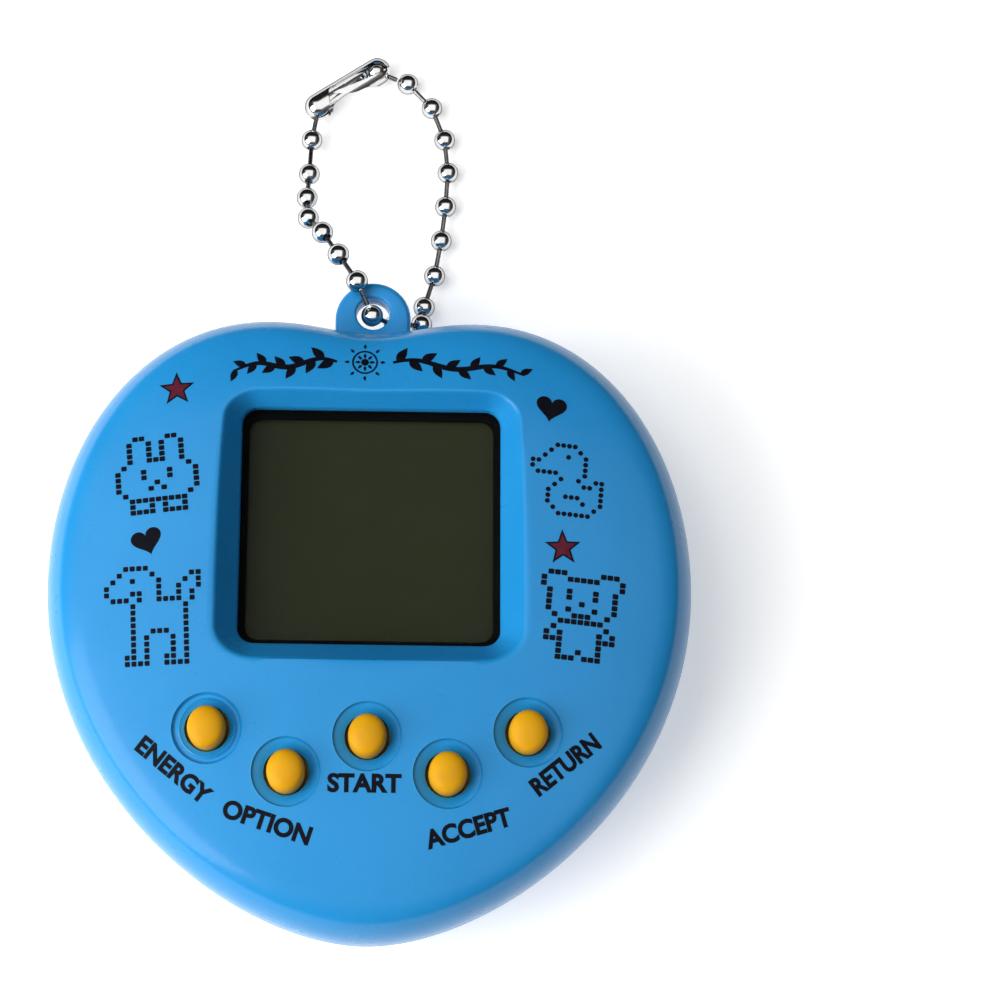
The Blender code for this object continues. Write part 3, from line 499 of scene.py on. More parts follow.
def window_reach(x, y):
    """0 on the edge of the window opening, 1 on the rim of its sloping border."""
    radius = WINDOW_CORNER / WINDOW_CORNER_GROWTH
    dx = (np.abs(x - WINDOW_CENTRE[0]) - WINDOW[0] / 2) / WINDOW_FLARE[0] + radius
    dy = (np.abs(y - WINDOW_CENTRE[1]) - WINDOW[1] / 2) / WINDOW_FLARE[1] + radius
    outside = np.hypot(np.maximum(dx, 0), np.maximum(dy, 0))
    return outside + np.minimum(np.maximum(dx, dy), 0) - radius


def nearest_button(x, y):
    return np.min([np.hypot(x - bx, y - by) for bx, by in BUTTON_PLACES.values()], axis=0)


def front_height(x, y):
    """Height of the front face, with the window border and the rings round the buttons."""
    x, y = np.asarray(x, dtype=float), np.asarray(y, dtype=float)
    height = dome_height(x, y)
    for name, (bx, by) in BUTTON_PLACES.items():
        reaches, drops = np.array(smooth_curve(STEPPED_DISH if name == "status" else DISH, 5)).T
        height = height - np.interp(np.hypot(x - bx, y - by), reaches, drops)
    slope = WINDOW_EDGE_Z + WINDOW_FLARE_HEIGHT * window_reach(x, y)
    overlap = np.maximum(RIM_SOFTNESS - np.abs(slope - height), 0) / RIM_SOFTNESS
    return np.minimum(slope, height) - overlap ** 2 * RIM_SOFTNESS / 4


def front_underside(x, y):
    ceiling = np.interp(outline_share(x, y), CEILING_PROFILE[:, 0], CEILING_PROFILE[:, 1])
    wall = np.where(nearest_button(x, y) < RING_REACH + RING_WALL_MARGIN, RING_WALL, UPPER_WALL)
    return np.minimum(ceiling, front_height(x, y) - wall)


def window_loop(reach, steps=12, side_steps=30):
    size = (WINDOW[0] + 2 * WINDOW_FLARE[0] * reach, WINDOW[1] + 2 * WINDOW_FLARE[1] * reach)
    radius = WINDOW_CORNER + WINDOW_CORNER_GROWTH * reach
    return rounded_rectangle(size, radius, WINDOW_CENTRE, steps, side_steps)


def grid_points(spacing, accept):
    """Loose points on a triangular grid over the case, where accept(x, y) is true."""
    rows = np.arange(*GRID_ROWS, spacing * math.sqrt(3) / 2)
    points = [(x + spacing / 2 * (index % 2), y) for index, y in enumerate(rows)
              for x in np.arange(*GRID_COLUMNS, spacing)]
    x, y = np.array(points).T
    return [point for point, good in zip(points, accept(x, y)) if good]


# ---- case shells

TAB_HALF_WIDTH = 3.6
TAB_ROUND_Y = 30.75
TAB_ROOT_Y = 27.9
TAB_THICKNESS = 2.6
TAB_EDGE = 0.55
EYELET = (0.0, 31.24)
EYELET_RADIUS = 1.6
EYELET_EDGE = 0.3
CASE_SCREWS = [(-20.0, 14.0), (20.0, 14.0), (0.0, -22.0)]
COUNTERBORE_RADIUS = 1.9
COUNTERBORE_Z = 3.0
POST_RADIUS = 2.3
POST_TOP_Z = 7.4
PILOT_RADIUS = 1.0
SOUND_HOLE_RADIUS = 0.55
BUZZER_CENTRE = (0.0, 16.5)
SOUND_HOLES = [(0, 0), (2.4, 0), (-2.4, 0), (0, 2.4), (0, -2.4)]
DOOR_CENTRE = (0.0, -9.2)
DOOR = (26.4, 13.4)
DOOR_LUG = (7.4, 6.0)
DOOR_LUG_X = 14.6
DOOR_GAP = 0.15
DOOR_CORNER = 1.2
CELL_BAY = (24.4, 12.0)
CELL_BAY_CORNER = 5.9
CELL_BAY_WALL = 0.9
CELL_BAY_TOP_Z = 7.3
FLOOR_OVERLAP = 0.2
DOOR_THICKNESS = 1.0
DOOR_SCREW = (15.9, -9.2)
SCREW_SEAT_RADIUS = 1.8
SCREW_SEAT_DEPTH = 0.55


def tab_outline(inset):
    half = TAB_HALF_WIDTH - inset
    angles = [math.radians(6 * step) for step in range(31)]
    arc = [(half * math.cos(a), TAB_ROUND_Y + half * math.sin(a)) for a in angles]
    side = [TAB_ROOT_Y + (TAB_ROUND_Y - TAB_ROOT_Y) * step / 6 for step in range(6)]
    base = [(-half + 2 * half * step / 8, TAB_ROOT_Y) for step in range(1, 8)]
    return [(half, y) for y in side] + arc + [(-half, y) for y in reversed(side)] + base


def add_tab(bm, seam_z, face_z):
    """One half of the eyelet tab, with eased edges towards face_z."""
    out = 1 if face_z > seam_z else -1
    outline = tab_outline(0)
    rings = [[(x, y, seam_z) for x, y in outline]]
    for step in range(7):
        angle = math.radians(15 * step)
        inset = TAB_EDGE * (1 - math.cos(angle))
        height = face_z - out * TAB_EDGE * (1 - math.sin(angle))
        rings.append([(x, y, height) for x, y in tab_outline(inset)])

    def eyelet_ring(radius, height):
        ring = []
        for x, y in outline:
            angle = math.atan2(y - EYELET[1], x - EYELET[0])
            ring.append((EYELET[0] + radius * math.cos(angle),
                         EYELET[1] + radius * math.sin(angle), height))
        return ring

    for step in range(5):
        angle = math.radians(22.5 * step)
        radius = EYELET_RADIUS + EYELET_EDGE * (1 - math.sin(angle))
        rings.append(eyelet_ring(radius, face_z - out * EYELET_EDGE * (1 - math.cos(angle))))
    rings.append(eyelet_ring(EYELET_RADIUS, seam_z))
    add_closed_section(bm, rings)


def profile_rings(profile):
    return [heart_ring(scale, height) for scale, height in profile]


# Where the front's mesh has rings: round the window, and round each button.
WINDOW_REACHES = (0, 0.08, 0.2, 0.4, 0.55, 0.64, 0.7, 0.76, 0.82, 0.88, 0.94, 1.0, 1.06, 1.14, 1.3, 1.55)
RING_RADII = (*np.arange(BUTTON_HOLE_RADIUS, 3.0, 0.09), *np.arange(3.0, 3.28, 0.03), RING_REACH, 3.6)


def make_front_shell():
    bm = bmesh.new()
    loops = [heart_ring(FACE_SCALE)] + [window_loop(reach) for reach in WINDOW_REACHES]
    loops += [circle(radius, place, 80) for place in BUTTON_PLACES.values() for radius in RING_RADII]

    def clear(x, y):
        inside = outline_share(x, y) < FACE_SCALE - 0.015
        off_window = window_reach(x, y) > WINDOW_REACHES[-1] + 0.2
        return inside & off_window & (nearest_button(x, y) > RING_RADII[-1] + 0.3)

    def solid(x, y):
        inside = outline_share(x, y) < FACE_SCALE
        return inside & (window_reach(x, y) > 0) & (nearest_button(x, y) > BUTTON_HOLE_RADIUS - 0.01)

    outer = [tuple(point) for point in FRONT_PROFILE if point[0] > FACE_SCALE + 0.001]
    inner = [tuple(point) for point in smooth_curve(FRONT_INNER, 3)]
    rim = profile_rings(outer + FRONT_SEAM_EDGE + inner)
    wall_solid(bm, loops, grid_points(0.75, clear), solid, front_height, front_underside, rim)
    add_tab(bm, SEAM + SEAM_GAP / 2, SEAM + TAB_THICKNESS / 2)
    return finish_mesh("case_front", bm, "case")


def door_outline(grow):
    """Rounded rectangle with a screw lug on its right side."""
    cx, cy = DOOR_CENTRE
    half_x = DOOR[0] / 2 + grow
    lug_y = DOOR_LUG[1] / 2 + grow
    lug_end = DOOR_LUG_X + DOOR_LUG[0] / 2 + grow - lug_y
    corners = rounded_rectangle((2 * half_x, DOOR[1] + 2 * grow), DOOR_CORNER, DOOR_CENTRE, 8, 2)
    left = [point for point in corners if point[0] < 0]
    upper_right = [point for point in corners if point[0] > 0 and point[1] > cy + lug_y]
    lower_right = [point for point in corners if point[0] > 0 and point[1] < cy - lug_y]
    angles = [math.radians(6 * step) for step in range(-15, 16)]
    nose = [(lug_end + lug_y * math.cos(a), cy + lug_y * math.sin(a)) for a in angles]
    upper_mid = [(0.0, cy + DOOR[1] / 2 + grow)]
    lower_mid = [(0.0, cy - DOOR[1] / 2 - grow)]
    lug = [(half_x, cy - lug_y), *nose, (half_x, cy + lug_y)]
    return lug + upper_right + upper_mid + left + lower_mid + lower_right


def loop_distance(loop):
    """A function that measures how far places are from a closed loop, less than 0 inside it."""
    a = np.array(loop)
    b = np.roll(a, -1, axis=0)

    def distance(x, y):
        p = np.stack([np.asarray(x, dtype=float), np.asarray(y, dtype=float)], axis=1)[:, None, :]
        run = b - a
        share = np.clip(((p - a) * run).sum(2) / (run ** 2).sum(1), 0, 1)
        nearest = np.linalg.norm(p - (a + share[..., None] * run), axis=2).min(axis=1)
        above = (a[:, 1] > p[..., 1]) != (b[:, 1] > p[..., 1])
        rise = np.where(b[:, 1] == a[:, 1], 1e-9, b[:, 1] - a[:, 1])
        crosses = above & (p[..., 0] < (b[:, 0] - a[:, 0]) * (p[..., 1] - a[:, 1]) / rise + a[:, 0])
        return np.where(crosses.sum(1) % 2 == 1, -nearest, nearest)

    return distance


BACK_EDGE = 0.18


def eased_edge(distance):
    """How far a rounded edge of the back falls away, at a distance in from the edge."""
    return BACK_EDGE * (1 - np.sqrt(1 - np.clip(1 - distance / BACK_EDGE, 0, 1) ** 2))


def make_rear_shell():
    bm = bmesh.new()
    holes = [(place, COUNTERBORE_RADIUS) for place in CASE_SCREWS]
    holes += [((BUZZER_CENTRE[0] + dx, BUZZER_CENTRE[1] + dy), SOUND_HOLE_RADIUS)
              for dx, dy in SOUND_HOLES]
    opening = loop_distance(door_outline(DOOR_GAP))
    loops = [heart_ring(BACK_SCALE), door_outline(DOOR_GAP), door_outline(DOOR_GAP + BACK_EDGE / 2),
             door_outline(DOOR_GAP + BACK_EDGE), door_outline(DOOR_GAP + 0.5)]
    for place, radius in holes:
        loops += [circle(radius + grow, place, 40) for grow in (0, BACK_EDGE / 2, BACK_EDGE, 0.45)]

    def edge_distance(x, y):
        rings = [np.hypot(x - place[0], y - place[1]) - radius for place, radius in holes]
        return np.min([opening(x, y), *rings], axis=0)

    def solid(x, y):
        return (outline_share(x, y) < BACK_SCALE) & (edge_distance(x, y) > -0.005)

    def clear(x, y):
        return (outline_share(x, y) < BACK_SCALE - 0.02) & (edge_distance(x, y) > 0.8)

    shares, heights = np.array(smooth_curve(REAR_OUTER, 6))[::-1].T

    def back(x, y):
        rounding = eased_edge(edge_distance(x, y))
        return np.maximum(np.interp(outline_share(x, y), shares, heights), 0) + rounding

    def inside(x, y):
        return np.interp(outline_share(x, y), *np.array(REAR_FLOOR).T)

    outer = [(share, height) for share, height in zip(shares[::-1], heights[::-1])
             if share > BACK_SCALE + 0.004]
    rim = profile_rings(REAR_INNER + REAR_SEAM_EDGE + outer)
    wall_solid(bm, loops, grid_points(1.6, clear), solid, inside, back, rim)
    add_tab(bm, SEAM - SEAM_GAP / 2, SEAM - TAB_THICKNESS / 2)
    for x, y in CASE_SCREWS:
        foot = FLOOR_Z - FLOOR_OVERLAP
        turned_ring(bm, [(COUNTERBORE_RADIUS, foot), (COUNTERBORE_RADIUS, COUNTERBORE_Z),
                         (PILOT_RADIUS, COUNTERBORE_Z), (PILOT_RADIUS, POST_TOP_Z),
                         (POST_RADIUS, POST_TOP_Z), (POST_RADIUS, foot)], (x, y))
    bay_outside = [side + 2 * CELL_BAY_WALL for side in CELL_BAY]
    add_band(bm, rounded_rectangle(CELL_BAY, CELL_BAY_CORNER, DOOR_CENTRE),
             rounded_rectangle(bay_outside, CELL_BAY_CORNER + CELL_BAY_WALL, DOOR_CENTRE),
             (FLOOR_Z, CELL_BAY_TOP_Z))
    return finish_mesh("case_rear", bm, "case")


def turned_ring(bm, profile, centre, steps=40):
    """A turned ring with a closed section."""
    add_closed_section(bm, [[(x, y, height) for x, y in circle(radius, centre, steps)]
                            for radius, height in profile])


def add_band(bm, inner, outer, z_range):
    """A standing wall between two outlines."""
    low, high = z_range
    rings = [(inner, low), (inner, high), (outer, high), (outer, low)]
    add_closed_section(bm, [[(x, y, height) for x, y in ring] for ring, height in rings])


GROOVE_PLACES = [-11.4 + 1.1 * step for step in range(4)]
GROOVE_HALF_LENGTH = 4.2
GROOVE_HALF_WIDTH = 0.38
GROOVE_DEPTH = 0.3
GROOVE_SLOPE = 0.3
SEAT_LIP = 0.12
SEAT_LIP_RADIUS = SCREW_SEAT_RADIUS + 0.14


def make_battery_door():
    """The door, with rounded edges, a seat for its screw and grip grooves at its free end."""
    bm = bmesh.new()
    edge = loop_distance(door_outline(0))
    loops = [door_outline(-inset) for inset in (0, BACK_EDGE / 2, BACK_EDGE, 0.5)]
    seat_radii = (PILOT_RADIUS, SCREW_SEAT_RADIUS, SCREW_SEAT_RADIUS + 0.02, SEAT_LIP_RADIUS)
    loops += [circle(radius, DOOR_SCREW, 48) for radius in seat_radii]

    def from_screw(x, y):
        return np.hypot(x - DOOR_SCREW[0], y - DOOR_SCREW[1])

    def solid(x, y):
        return (edge(x, y) < 0) & (from_screw(x, y) > PILOT_RADIUS - 0.01)

    def clear(x, y):
        beside = np.abs(y - DOOR_CENTRE[1]) < GROOVE_HALF_LENGTH + 1.0
        near_grooves = (x < GROOVE_PLACES[-1] + 1.0) & beside
        return (edge(x, y) < -0.8) & (from_screw(x, y) > SCREW_SEAT_RADIUS + 0.6) & ~near_grooves

    def outside(x, y):
        seat = SCREW_SEAT_DEPTH * (from_screw(x, y) < SCREW_SEAT_RADIUS + 0.01)
        seat = np.maximum(seat, SEAT_LIP * ease((SEAT_LIP_RADIUS - from_screw(x, y)) / SEAT_LIP))
        ends = ease((GROOVE_HALF_LENGTH - np.abs(y - DOOR_CENTRE[1])) / 0.4)
        nearest = np.min([np.abs(x - place) for place in GROOVE_PLACES], axis=0)
        groove = GROOVE_DEPTH * ease((GROOVE_HALF_WIDTH - nearest) / GROOVE_SLOPE) * ends
        return np.maximum(np.maximum(eased_edge(-edge(x, y)), seat), groove)

    fine = [(x, DOOR_CENTRE[1] + y)
            for x in np.arange(GROOVE_PLACES[0] - 0.6, GROOVE_PLACES[-1] + 0.7, 0.1)
            for y in np.linspace(-GROOVE_HALF_LENGTH - 0.1, GROOVE_HALF_LENGTH + 0.1, 29)]
    wall_solid(bm, loops, grid_points(1.4, clear) + fine, solid,
               lambda x, y: np.full(len(x), DOOR_THICKNESS), outside)
    return finish_mesh("door_cover", bm, "case")


# ---- buttons

FLANGE_RADIUS = 2.8
FLANGE_Z = (13.2, 14.1)
STEM_RADIUS = 1.5
STEM_BOTTOM_Z = 11.6
# Rounded top of a cap: share of its radius, and drop below its top.
CROWN = [(1.0, 1.5), (0.99, 1.1), (0.96, 0.8), (0.9, 0.52), (0.79, 0.32), (0.62, 0.17), (0.42, 0.07),
         (0.2, 0.015), (0.0, 0.0)]


def make_button(name, place):
    x, y = place
    top = float(dome_height(np.array([x]), np.array([y]))[0]) + BUTTON_PROUD
    side = [(BUTTON_RADIUS * share, top - drop) for share, drop in smooth_curve(CROWN, 4)]
    low, high = FLANGE_Z
    foot = [(0, STEM_BOTTOM_Z), (STEM_RADIUS, STEM_BOTTOM_Z), (STEM_RADIUS, low), (FLANGE_RADIUS, low),
            (FLANGE_RADIUS, high - 0.1), (FLANGE_RADIUS - 0.1, high), (BUTTON_RADIUS, high)]
    bm = bmesh.new()
    turned(bm, foot + side[:-1] + [(0, top)], (x, y, 0), steps=64)
    for vert in bm.verts:
        offset = vert.co - Vector((x, y, 0))
        if vert.co.z > high - 0.001 and offset.xy.length < BUTTON_RADIUS + 0.001:
            vert.co.xy = (x + offset.x * CAP_STRETCH[0], y + offset.y * CAP_STRETCH[1])
    return finish_mesh(f"cap_{name}", bm, "button")


# ---- print on the front

INK_HEIGHT = 0.022
INK_DEPTH = 0.02
INK_EDGE = 0.55
STAR_RADIUS = 1.72
STAR_FILL_RADIUS = 1.28
STAR_FILL_LIFT = 0.012
STAR_WAIST = 0.42
STARS = {"left": ((-18.05, 21.9), 4.0), "right": ((17.5, 7.2), 2.0)}
HEART_SIZE = (2.85, 2.45)
HEARTS = {"right": ((16.5, 20.3), -10.0), "left": ((-20.2, 7.2), 20.0)}


def place_flat(points, centre, tilt):
    angle = math.radians(tilt)
    c, s = math.cos(angle), math.sin(angle)
    return [(centre[0] + x * c - y * s, centre[1] + x * s + y * c) for x, y in points]


def add_patch(bm, loop):
    """A flat patch inside a closed loop."""
    verts = [bm.verts.new((x, y, 0)) for x, y in loop]
    for triangle in tessellate_polygon([[Vector((x, y, 0)) for x, y in loop]]):
        bm.faces.new([verts[index] for index in triangle])


def add_stroke(bm, route, widths, closed=False):
    """A flat ribbon along a route, as wide at each point as widths says."""
    route = [Vector(point) for point in route]
    pairs = []
    for index, point in enumerate(route):
        ahead = route[(index + 1) % len(route)] if closed or index + 1 < len(route) else point
        behind = route[index - 1] if closed or index > 0 else point
        run = (ahead - behind).normalized()
        side = Vector((-run.y, run.x)) * widths[index] / 2
        pairs.append([bm.verts.new((*(point + side), 0)), bm.verts.new((*(point - side), 0))])
    for before, after in zip(pairs, pairs[1:] + (pairs[:1] if closed else [])):
        bm.faces.new((before[0], before[1], after[1], after[0]))


def make_print(name, bm, material, lift=0.0):
    """Lays a flat drawing on the front face as a thin closed layer of ink."""
    for _ in range(3):
        long_edges = [edge for edge in bm.edges if edge.calc_length() > INK_EDGE]
        if long_edges:
            bmesh.ops.subdivide_edges(bm, edges=long_edges, cuts=1, use_grid_fill=True)
            bmesh.ops.triangulate(bm, faces=[face for face in bm.faces if len(face.verts) > 4])
    bmesh.ops.recalc_face_normals(bm, faces=bm.faces)
    bm.verts.ensure_lookup_table()
    x, y = np.array([vert.co[:2] for vert in bm.verts]).T
    height = front_height(x, y)
    faces = [[vert.index for vert in face.verts] for face in bm.faces]
    rim = [[vert.index for vert in edge.verts] for edge in bm.edges if edge.is_boundary]
    solid = bmesh.new()
    top = [solid.verts.new(place) for place in zip(x, y, height + INK_HEIGHT + lift)]
    base = [solid.verts.new(place) for place in zip(x, y, height - INK_DEPTH)]
    for face in faces:
        solid.faces.new([top[index] for index in face])
        solid.faces.new([base[index] for index in reversed(face)])
    for a, b in rim:
        solid.faces.new((top[a], top[b], base[b], base[a]))
    bm.free()
    piece = finish_mesh(name, solid, material)
    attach(piece, "case")
    return piece


def star_loop(radius, centre, tilt):
    points = []
    for step in range(10):
        reach = radius if step % 2 == 0 else radius * STAR_WAIST
        angle = math.radians(90 + 36 * step)
        points.append((reach * math.cos(angle), reach * math.sin(angle)))
    return place_flat(points, centre, tilt)


def heart_loop(width, height, centre, tilt):
    points = []
    for step in range(48):
        t = 2 * math.pi * step / 48
        x = 16 * math.sin(t) ** 3
        y = 13 * math.cos(t) - 5 * math.cos(2 * t) - 2 * math.cos(3 * t) - math.cos(4 * t)
        points.append((x * width / 32, (y + 2.6) * height / 29))
    return place_flat(reversed(points), centre, tilt)


def make_stars_and_hearts():
    for side, (centre, tilt) in STARS.items():
        rim, fill = bmesh.new(), bmesh.new()
        add_patch(rim, star_loop(STAR_RADIUS, centre, tilt))
        add_patch(fill, star_loop(STAR_FILL_RADIUS, centre, tilt))
        make_print(f"star_{side}", rim, "ink")
        make_print(f"star_fill_{side}", fill, "ink_red", STAR_FILL_LIFT)
    for side, (centre, tilt) in HEARTS.items():
        bm = bmesh.new()
        add_patch(bm, heart_loop(*HEART_SIZE, centre, tilt))
        make_print(f"heart_{side}", bm, "ink")



def mirrored(*halves):
    return tuple(half + half[-2::-1] for half in halves)


# Dot-matrix animals; the rabbit and the bear are given by their left halves.
RABBIT = mirrored(
    "...##..",
    "..#..#.",
    "..#..#.",
    "..#..#.",
    "..#..##",
    ".#.....",
    "#...#..",
    "#...#..",
    "#.....#",
    "#....#.",
    ".#.....",
    "..#####",
    "..#..#.",
    "..####.",
)
DOG = (
    "...####........",
    "..#....#.....##",
    ".#..#...#...#.#",
    "#.......#..#..#",
    "#...##..#..#.#.",
    ".###.#..####.#.",
    "....#.......#..",
    "....#.......#..",
    "....#.......#..",
    "....#.......#..",
    "....#..###..#..",
    "....#.#...#.#..",
    "....#.#...#.#..",
    "....#.#...#.#..",
    "...##.#..##.#..",
    "...####..####..",
)
DUCK = (
    "....####.....",
    "...#....#....",
    "..#...#..#...",
    "##.......#...",
    "#........#...",
    ".####....#...",
    ".....#..#..##",
    "....#....##.#",
    "...#........#",
    "...#..###...#",
    "...#.....#..#",
    "....#......#.",
    ".....######..",
)
BEAR = mirrored(
    ".###...",
    "#...###",
    "#......",
    ".#..#..",
    ".#..#..",
    ".#....#",
    ".#..#..",
    "..#..##",
    "...####",
    "..#....",
    ".#.#...",
    ".###...",
    "...#...",
    "...#..#",
    "...###.",
)


def make_animal(name, pattern, centre, tilt, pitch, dot, round_dots=False):
    bm = bmesh.new()
    rows, columns = len(pattern), len(pattern[0])
    for row, line in enumerate(pattern):
        for column, mark in enumerate(line):
            if mark != "#":
                continue
            x = (column - (columns - 1) / 2) * pitch[0]
            y = ((rows - 1) / 2 - row) * pitch[1]
            if round_dots:
                shape = circle(dot[0] / 2, (x, y), 12)
            else:
                shape = rounded_rectangle(dot, 0.08, (x, y), 2)
            add_patch(bm, place_flat(shape, centre, tilt))
    make_print(name, bm, "ink")


def make_animals():
    make_animal("rabbit", RABBIT, (-19.6, 13.7), 6.0, (0.6, 0.54), (0.51, 0.45))
    make_animal("dog", DOG, (-19.5, 0.5), 3.0, (0.6, 0.58), (0.46, 0.46))
    make_animal("duck", DUCK, (17.9, 13.6), -5.0, (0.54, 0.54), (0.46, 0.46), True)
    make_animal("bear", BEAR, (19.1, 0.9), -5.0, (0.6, 0.55), (0.52, 0.47))


# Function words: piece name, word, centre, tilt and width.
LABELS = (
    ("label_menu", "ENERGY", (-17.2, -13.4), -38.5, 8.1),
    ("label_next", "OPTION", (-8.8, -17.9), -18.0, 8.2),
    ("label_start", "START", (-0.2, -14.4), 0.0, 6.6),
    ("label_accept", "ACCEPT", (9.05, -18.2), 17.0, 7.9),
    ("label_return", "RETURN", (17.7, -12.4), 39.0, 7.3),
)
LABEL_HEIGHT = 1.72
TYPE_SIZE = 2.4
TYPE_WEIGHT = 0.1


def make_label(name, word, centre, tilt, width):
    """A function word in plain capitals under a button."""
    data = bpy.data.curves.new(name, "FONT")
    data.body = word
    data.size = TYPE_SIZE
    data.offset = TYPE_WEIGHT
    data.resolution_u = 4
    text = bpy.data.objects.new(name + "_guide", data)
    bpy.context.scene.collection.objects.link(text)
    bpy.context.view_layer.update()
    graph = bpy.context.evaluated_depsgraph_get()
    mesh = bpy.data.meshes.new_from_object(text.evaluated_get(graph))
    bpy.data.objects.remove(text, do_unlink=True)
    x, y = np.array([vert.co[:2] for vert in mesh.vertices]).T
    stretch_x = width / (x.max() - x.min())
    stretch_y = LABEL_HEIGHT / (y.max() - y.min())
    flat = zip((x - (x.max() + x.min()) / 2) * stretch_x, (y - (y.max() + y.min()) / 2) * stretch_y)
    bm = bmesh.new()
    verts = [bm.verts.new((*place, 0)) for place in place_flat(flat, centre, tilt)]
    for face in mesh.polygons:
        bm.faces.new([verts[index] for index in face.vertices])
    bpy.data.meshes.remove(mesh)
    make_print(name, bm, "ink")


def leaf_loop(start, angle, length, width):
    """A pointed leaf that grows from start towards an angle."""
    upper = [(length * t, width / 2 * math.sin(math.pi * t ** 0.75)) for t in np.linspace(0, 1, 12)]
    lower = [(x, -y) for x, y in reversed(upper[1:-1])]
    return place_flat(upper + lower, start, angle)


GARLAND_CENTRE = (-0.7, 24.75)
FLOWER_RING = 1.12
FLOWER_RING_WIDTH = 0.16
FLOWER_HEART = 0.36
PETALS = 8
PETAL_WIDTH = 0.26
# Petals inside and outside the flower's ring: distance of the root from its middle, and length.
PETAL_ROWS = ((1.42, 0.5), (0.42, 0.52))
SPRAY_START = 2.6
SPRAYS = ((-1, 9.6), (1, 12.2))
SPRAY_FALL = 0.9
SPRAY_WAVE = 0.34
STEM_WIDTH = 0.38
STEM_STEPS = 32
LEAF_LEAN = 44
LEAF_SIZES = (1.75, 1.25)


def make_garland():
    """A flower between two leafy sprays, above the screen."""
    bm = bmesh.new()
    cx, cy = GARLAND_CENTRE
    add_stroke(bm, circle(FLOWER_RING, GARLAND_CENTRE, 40), [FLOWER_RING_WIDTH] * 40, closed=True)
    add_patch(bm, circle(FLOWER_HEART, GARLAND_CENTRE, 20))
    for step in range(PETALS):
        angle = 360 / PETALS * step
        c, s = math.cos(math.radians(angle)), math.sin(math.radians(angle))
        for reach, length in PETAL_ROWS:
            add_patch(bm, leaf_loop((cx + reach * c, cy + reach * s), angle, length, PETAL_WIDTH))
    for side, length in SPRAYS:
        knots, widths = [], []
        for share in np.linspace(0, 1, STEM_STEPS + 1):
            fall = SPRAY_FALL * share ** 1.4 - SPRAY_WAVE * math.sin(share * 3.2 * math.pi)
            knots.append((cx + side * (SPRAY_START + length * share), cy - fall))
            widths.append(STEM_WIDTH * (0.35 + math.sin(math.pi * (0.1 + 0.85 * share))))
        add_stroke(bm, knots, widths)
        for index in range(1, STEM_STEPS, 3):
            (ax, ay), (bx, by) = knots[index], knots[index + 1]
            along = math.degrees(math.atan2(by - ay, bx - ax))
            lean = LEAF_LEAN if index % 2 else -LEAF_LEAN
            size = LEAF_SIZES[0] + (LEAF_SIZES[1] - LEAF_SIZES[0]) * index / STEM_STEPS
            add_patch(bm, leaf_loop((ax, ay), along + lean, size, size / 2))
    make_print("garland", bm, "ink")


# ---- chain, as in the CAD

BEAD_RADIUS = 1.05
BEAD_HOLE = 0.4
BEAD_LIP = 0.62
PIN_RADIUS = 0.23
PIN_START = 0.55
PIN_TIP = 0.06
PIN_OVERLAP = 0.12
PIN_CLEARANCE = 0.1
EYE_BEAD = (-0.1, 31.15, 9.2)
UNDER_BEAD = (2.1, 31.2, 5.85)
LEFT_STRAND = [(-1.58, 34.02, 11.0), (-3.42, 36.95, 10.2), (-5.02, 39.7, 8.6),
               (-6.49, 41.96, 6.3), (-6.7, 44.8, 4.2), (-6.58, 47.95, 2.5),
               (-6.42, 51.9, 1.6), (-5.77, 55.6, 1.45)]
RIGHT_STRAND = [(4.75, 32.0, 3.7), (5.04, 34.5, 1.4), (6.06, 37.9, 1.05),
                (6.69, 41.6, 1.05), (7.1, 45.2, 1.05), (7.31, 48.8, 1.05),
                (6.96, 52.3, 1.05), (5.64, 55.7, 1.05), (3.19, 58.3, 1.05), (-0.03, 59.4, 1.45)]
CLASP_RADIUS = 1.355
CLASP_LENGTH = 9.8
CLASP_SHEET = 0.2


def node_body(node):
    bodies = frame["record"]["behaviour"]["bodies"]
    return next(body for body, nodes in bodies.items() if node in nodes)


def add_bead(bm, centre, axis):
    """A hollow-looking bead: a ball with a rolled hole at both ends of its axis."""
    top = math.asin((BEAD_HOLE + 0.06) / BEAD_RADIUS)
    half = [(0.0, BEAD_LIP), (BEAD_HOLE - 0.04, BEAD_LIP), (BEAD_HOLE, 0.7), (BEAD_HOLE, 0.9),
            (BEAD_HOLE + 0.02, 0.935)]
    half += [(BEAD_RADIUS * math.sin(a), BEAD_RADIUS * math.cos(a))
             for a in np.linspace(top, math.pi / 2, 12)]
    profile = half + [(radius, -height) for radius, height in reversed(half[:-1])]
    turned(bm, profile, centre, axis, 32)


def add_pin(bm, centre, towards, into):
    """A pin from a bead's hole to the next bead; its end goes into past that bead's surface."""
    reach = Vector(towards) - Vector(centre)
    end = reach.length - BEAD_RADIUS + into
    profile = [(0, PIN_START), (PIN_RADIUS, PIN_START), (PIN_RADIUS, end - PIN_TIP),
               (PIN_RADIUS - PIN_TIP, end), (0, end)]
    bead_faces = len(bm.faces)
    turned(bm, profile, centre, reach, 20)
    bm.faces.ensure_lookup_table()
    for face in bm.faces[bead_faces:]:
        face.material_index = 1


def make_bead(index, place, before, after):
    name = f"chain_bead_{index:02d}"
    body = node_body(name)
    bm = bmesh.new()
    ahead = Vector(after or place) - Vector(before or place)
    add_bead(bm, place, -ahead)
    if before:
        joined = node_body(f"chain_bead_{index - 1:02d}") == body
        add_pin(bm, place, before, PIN_OVERLAP if joined else -PIN_CLEARANCE)
    piece = finish_mesh(f"bead_{index:02d}", bm, "chrome", second="pin")
    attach(piece, body)
    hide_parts(name)


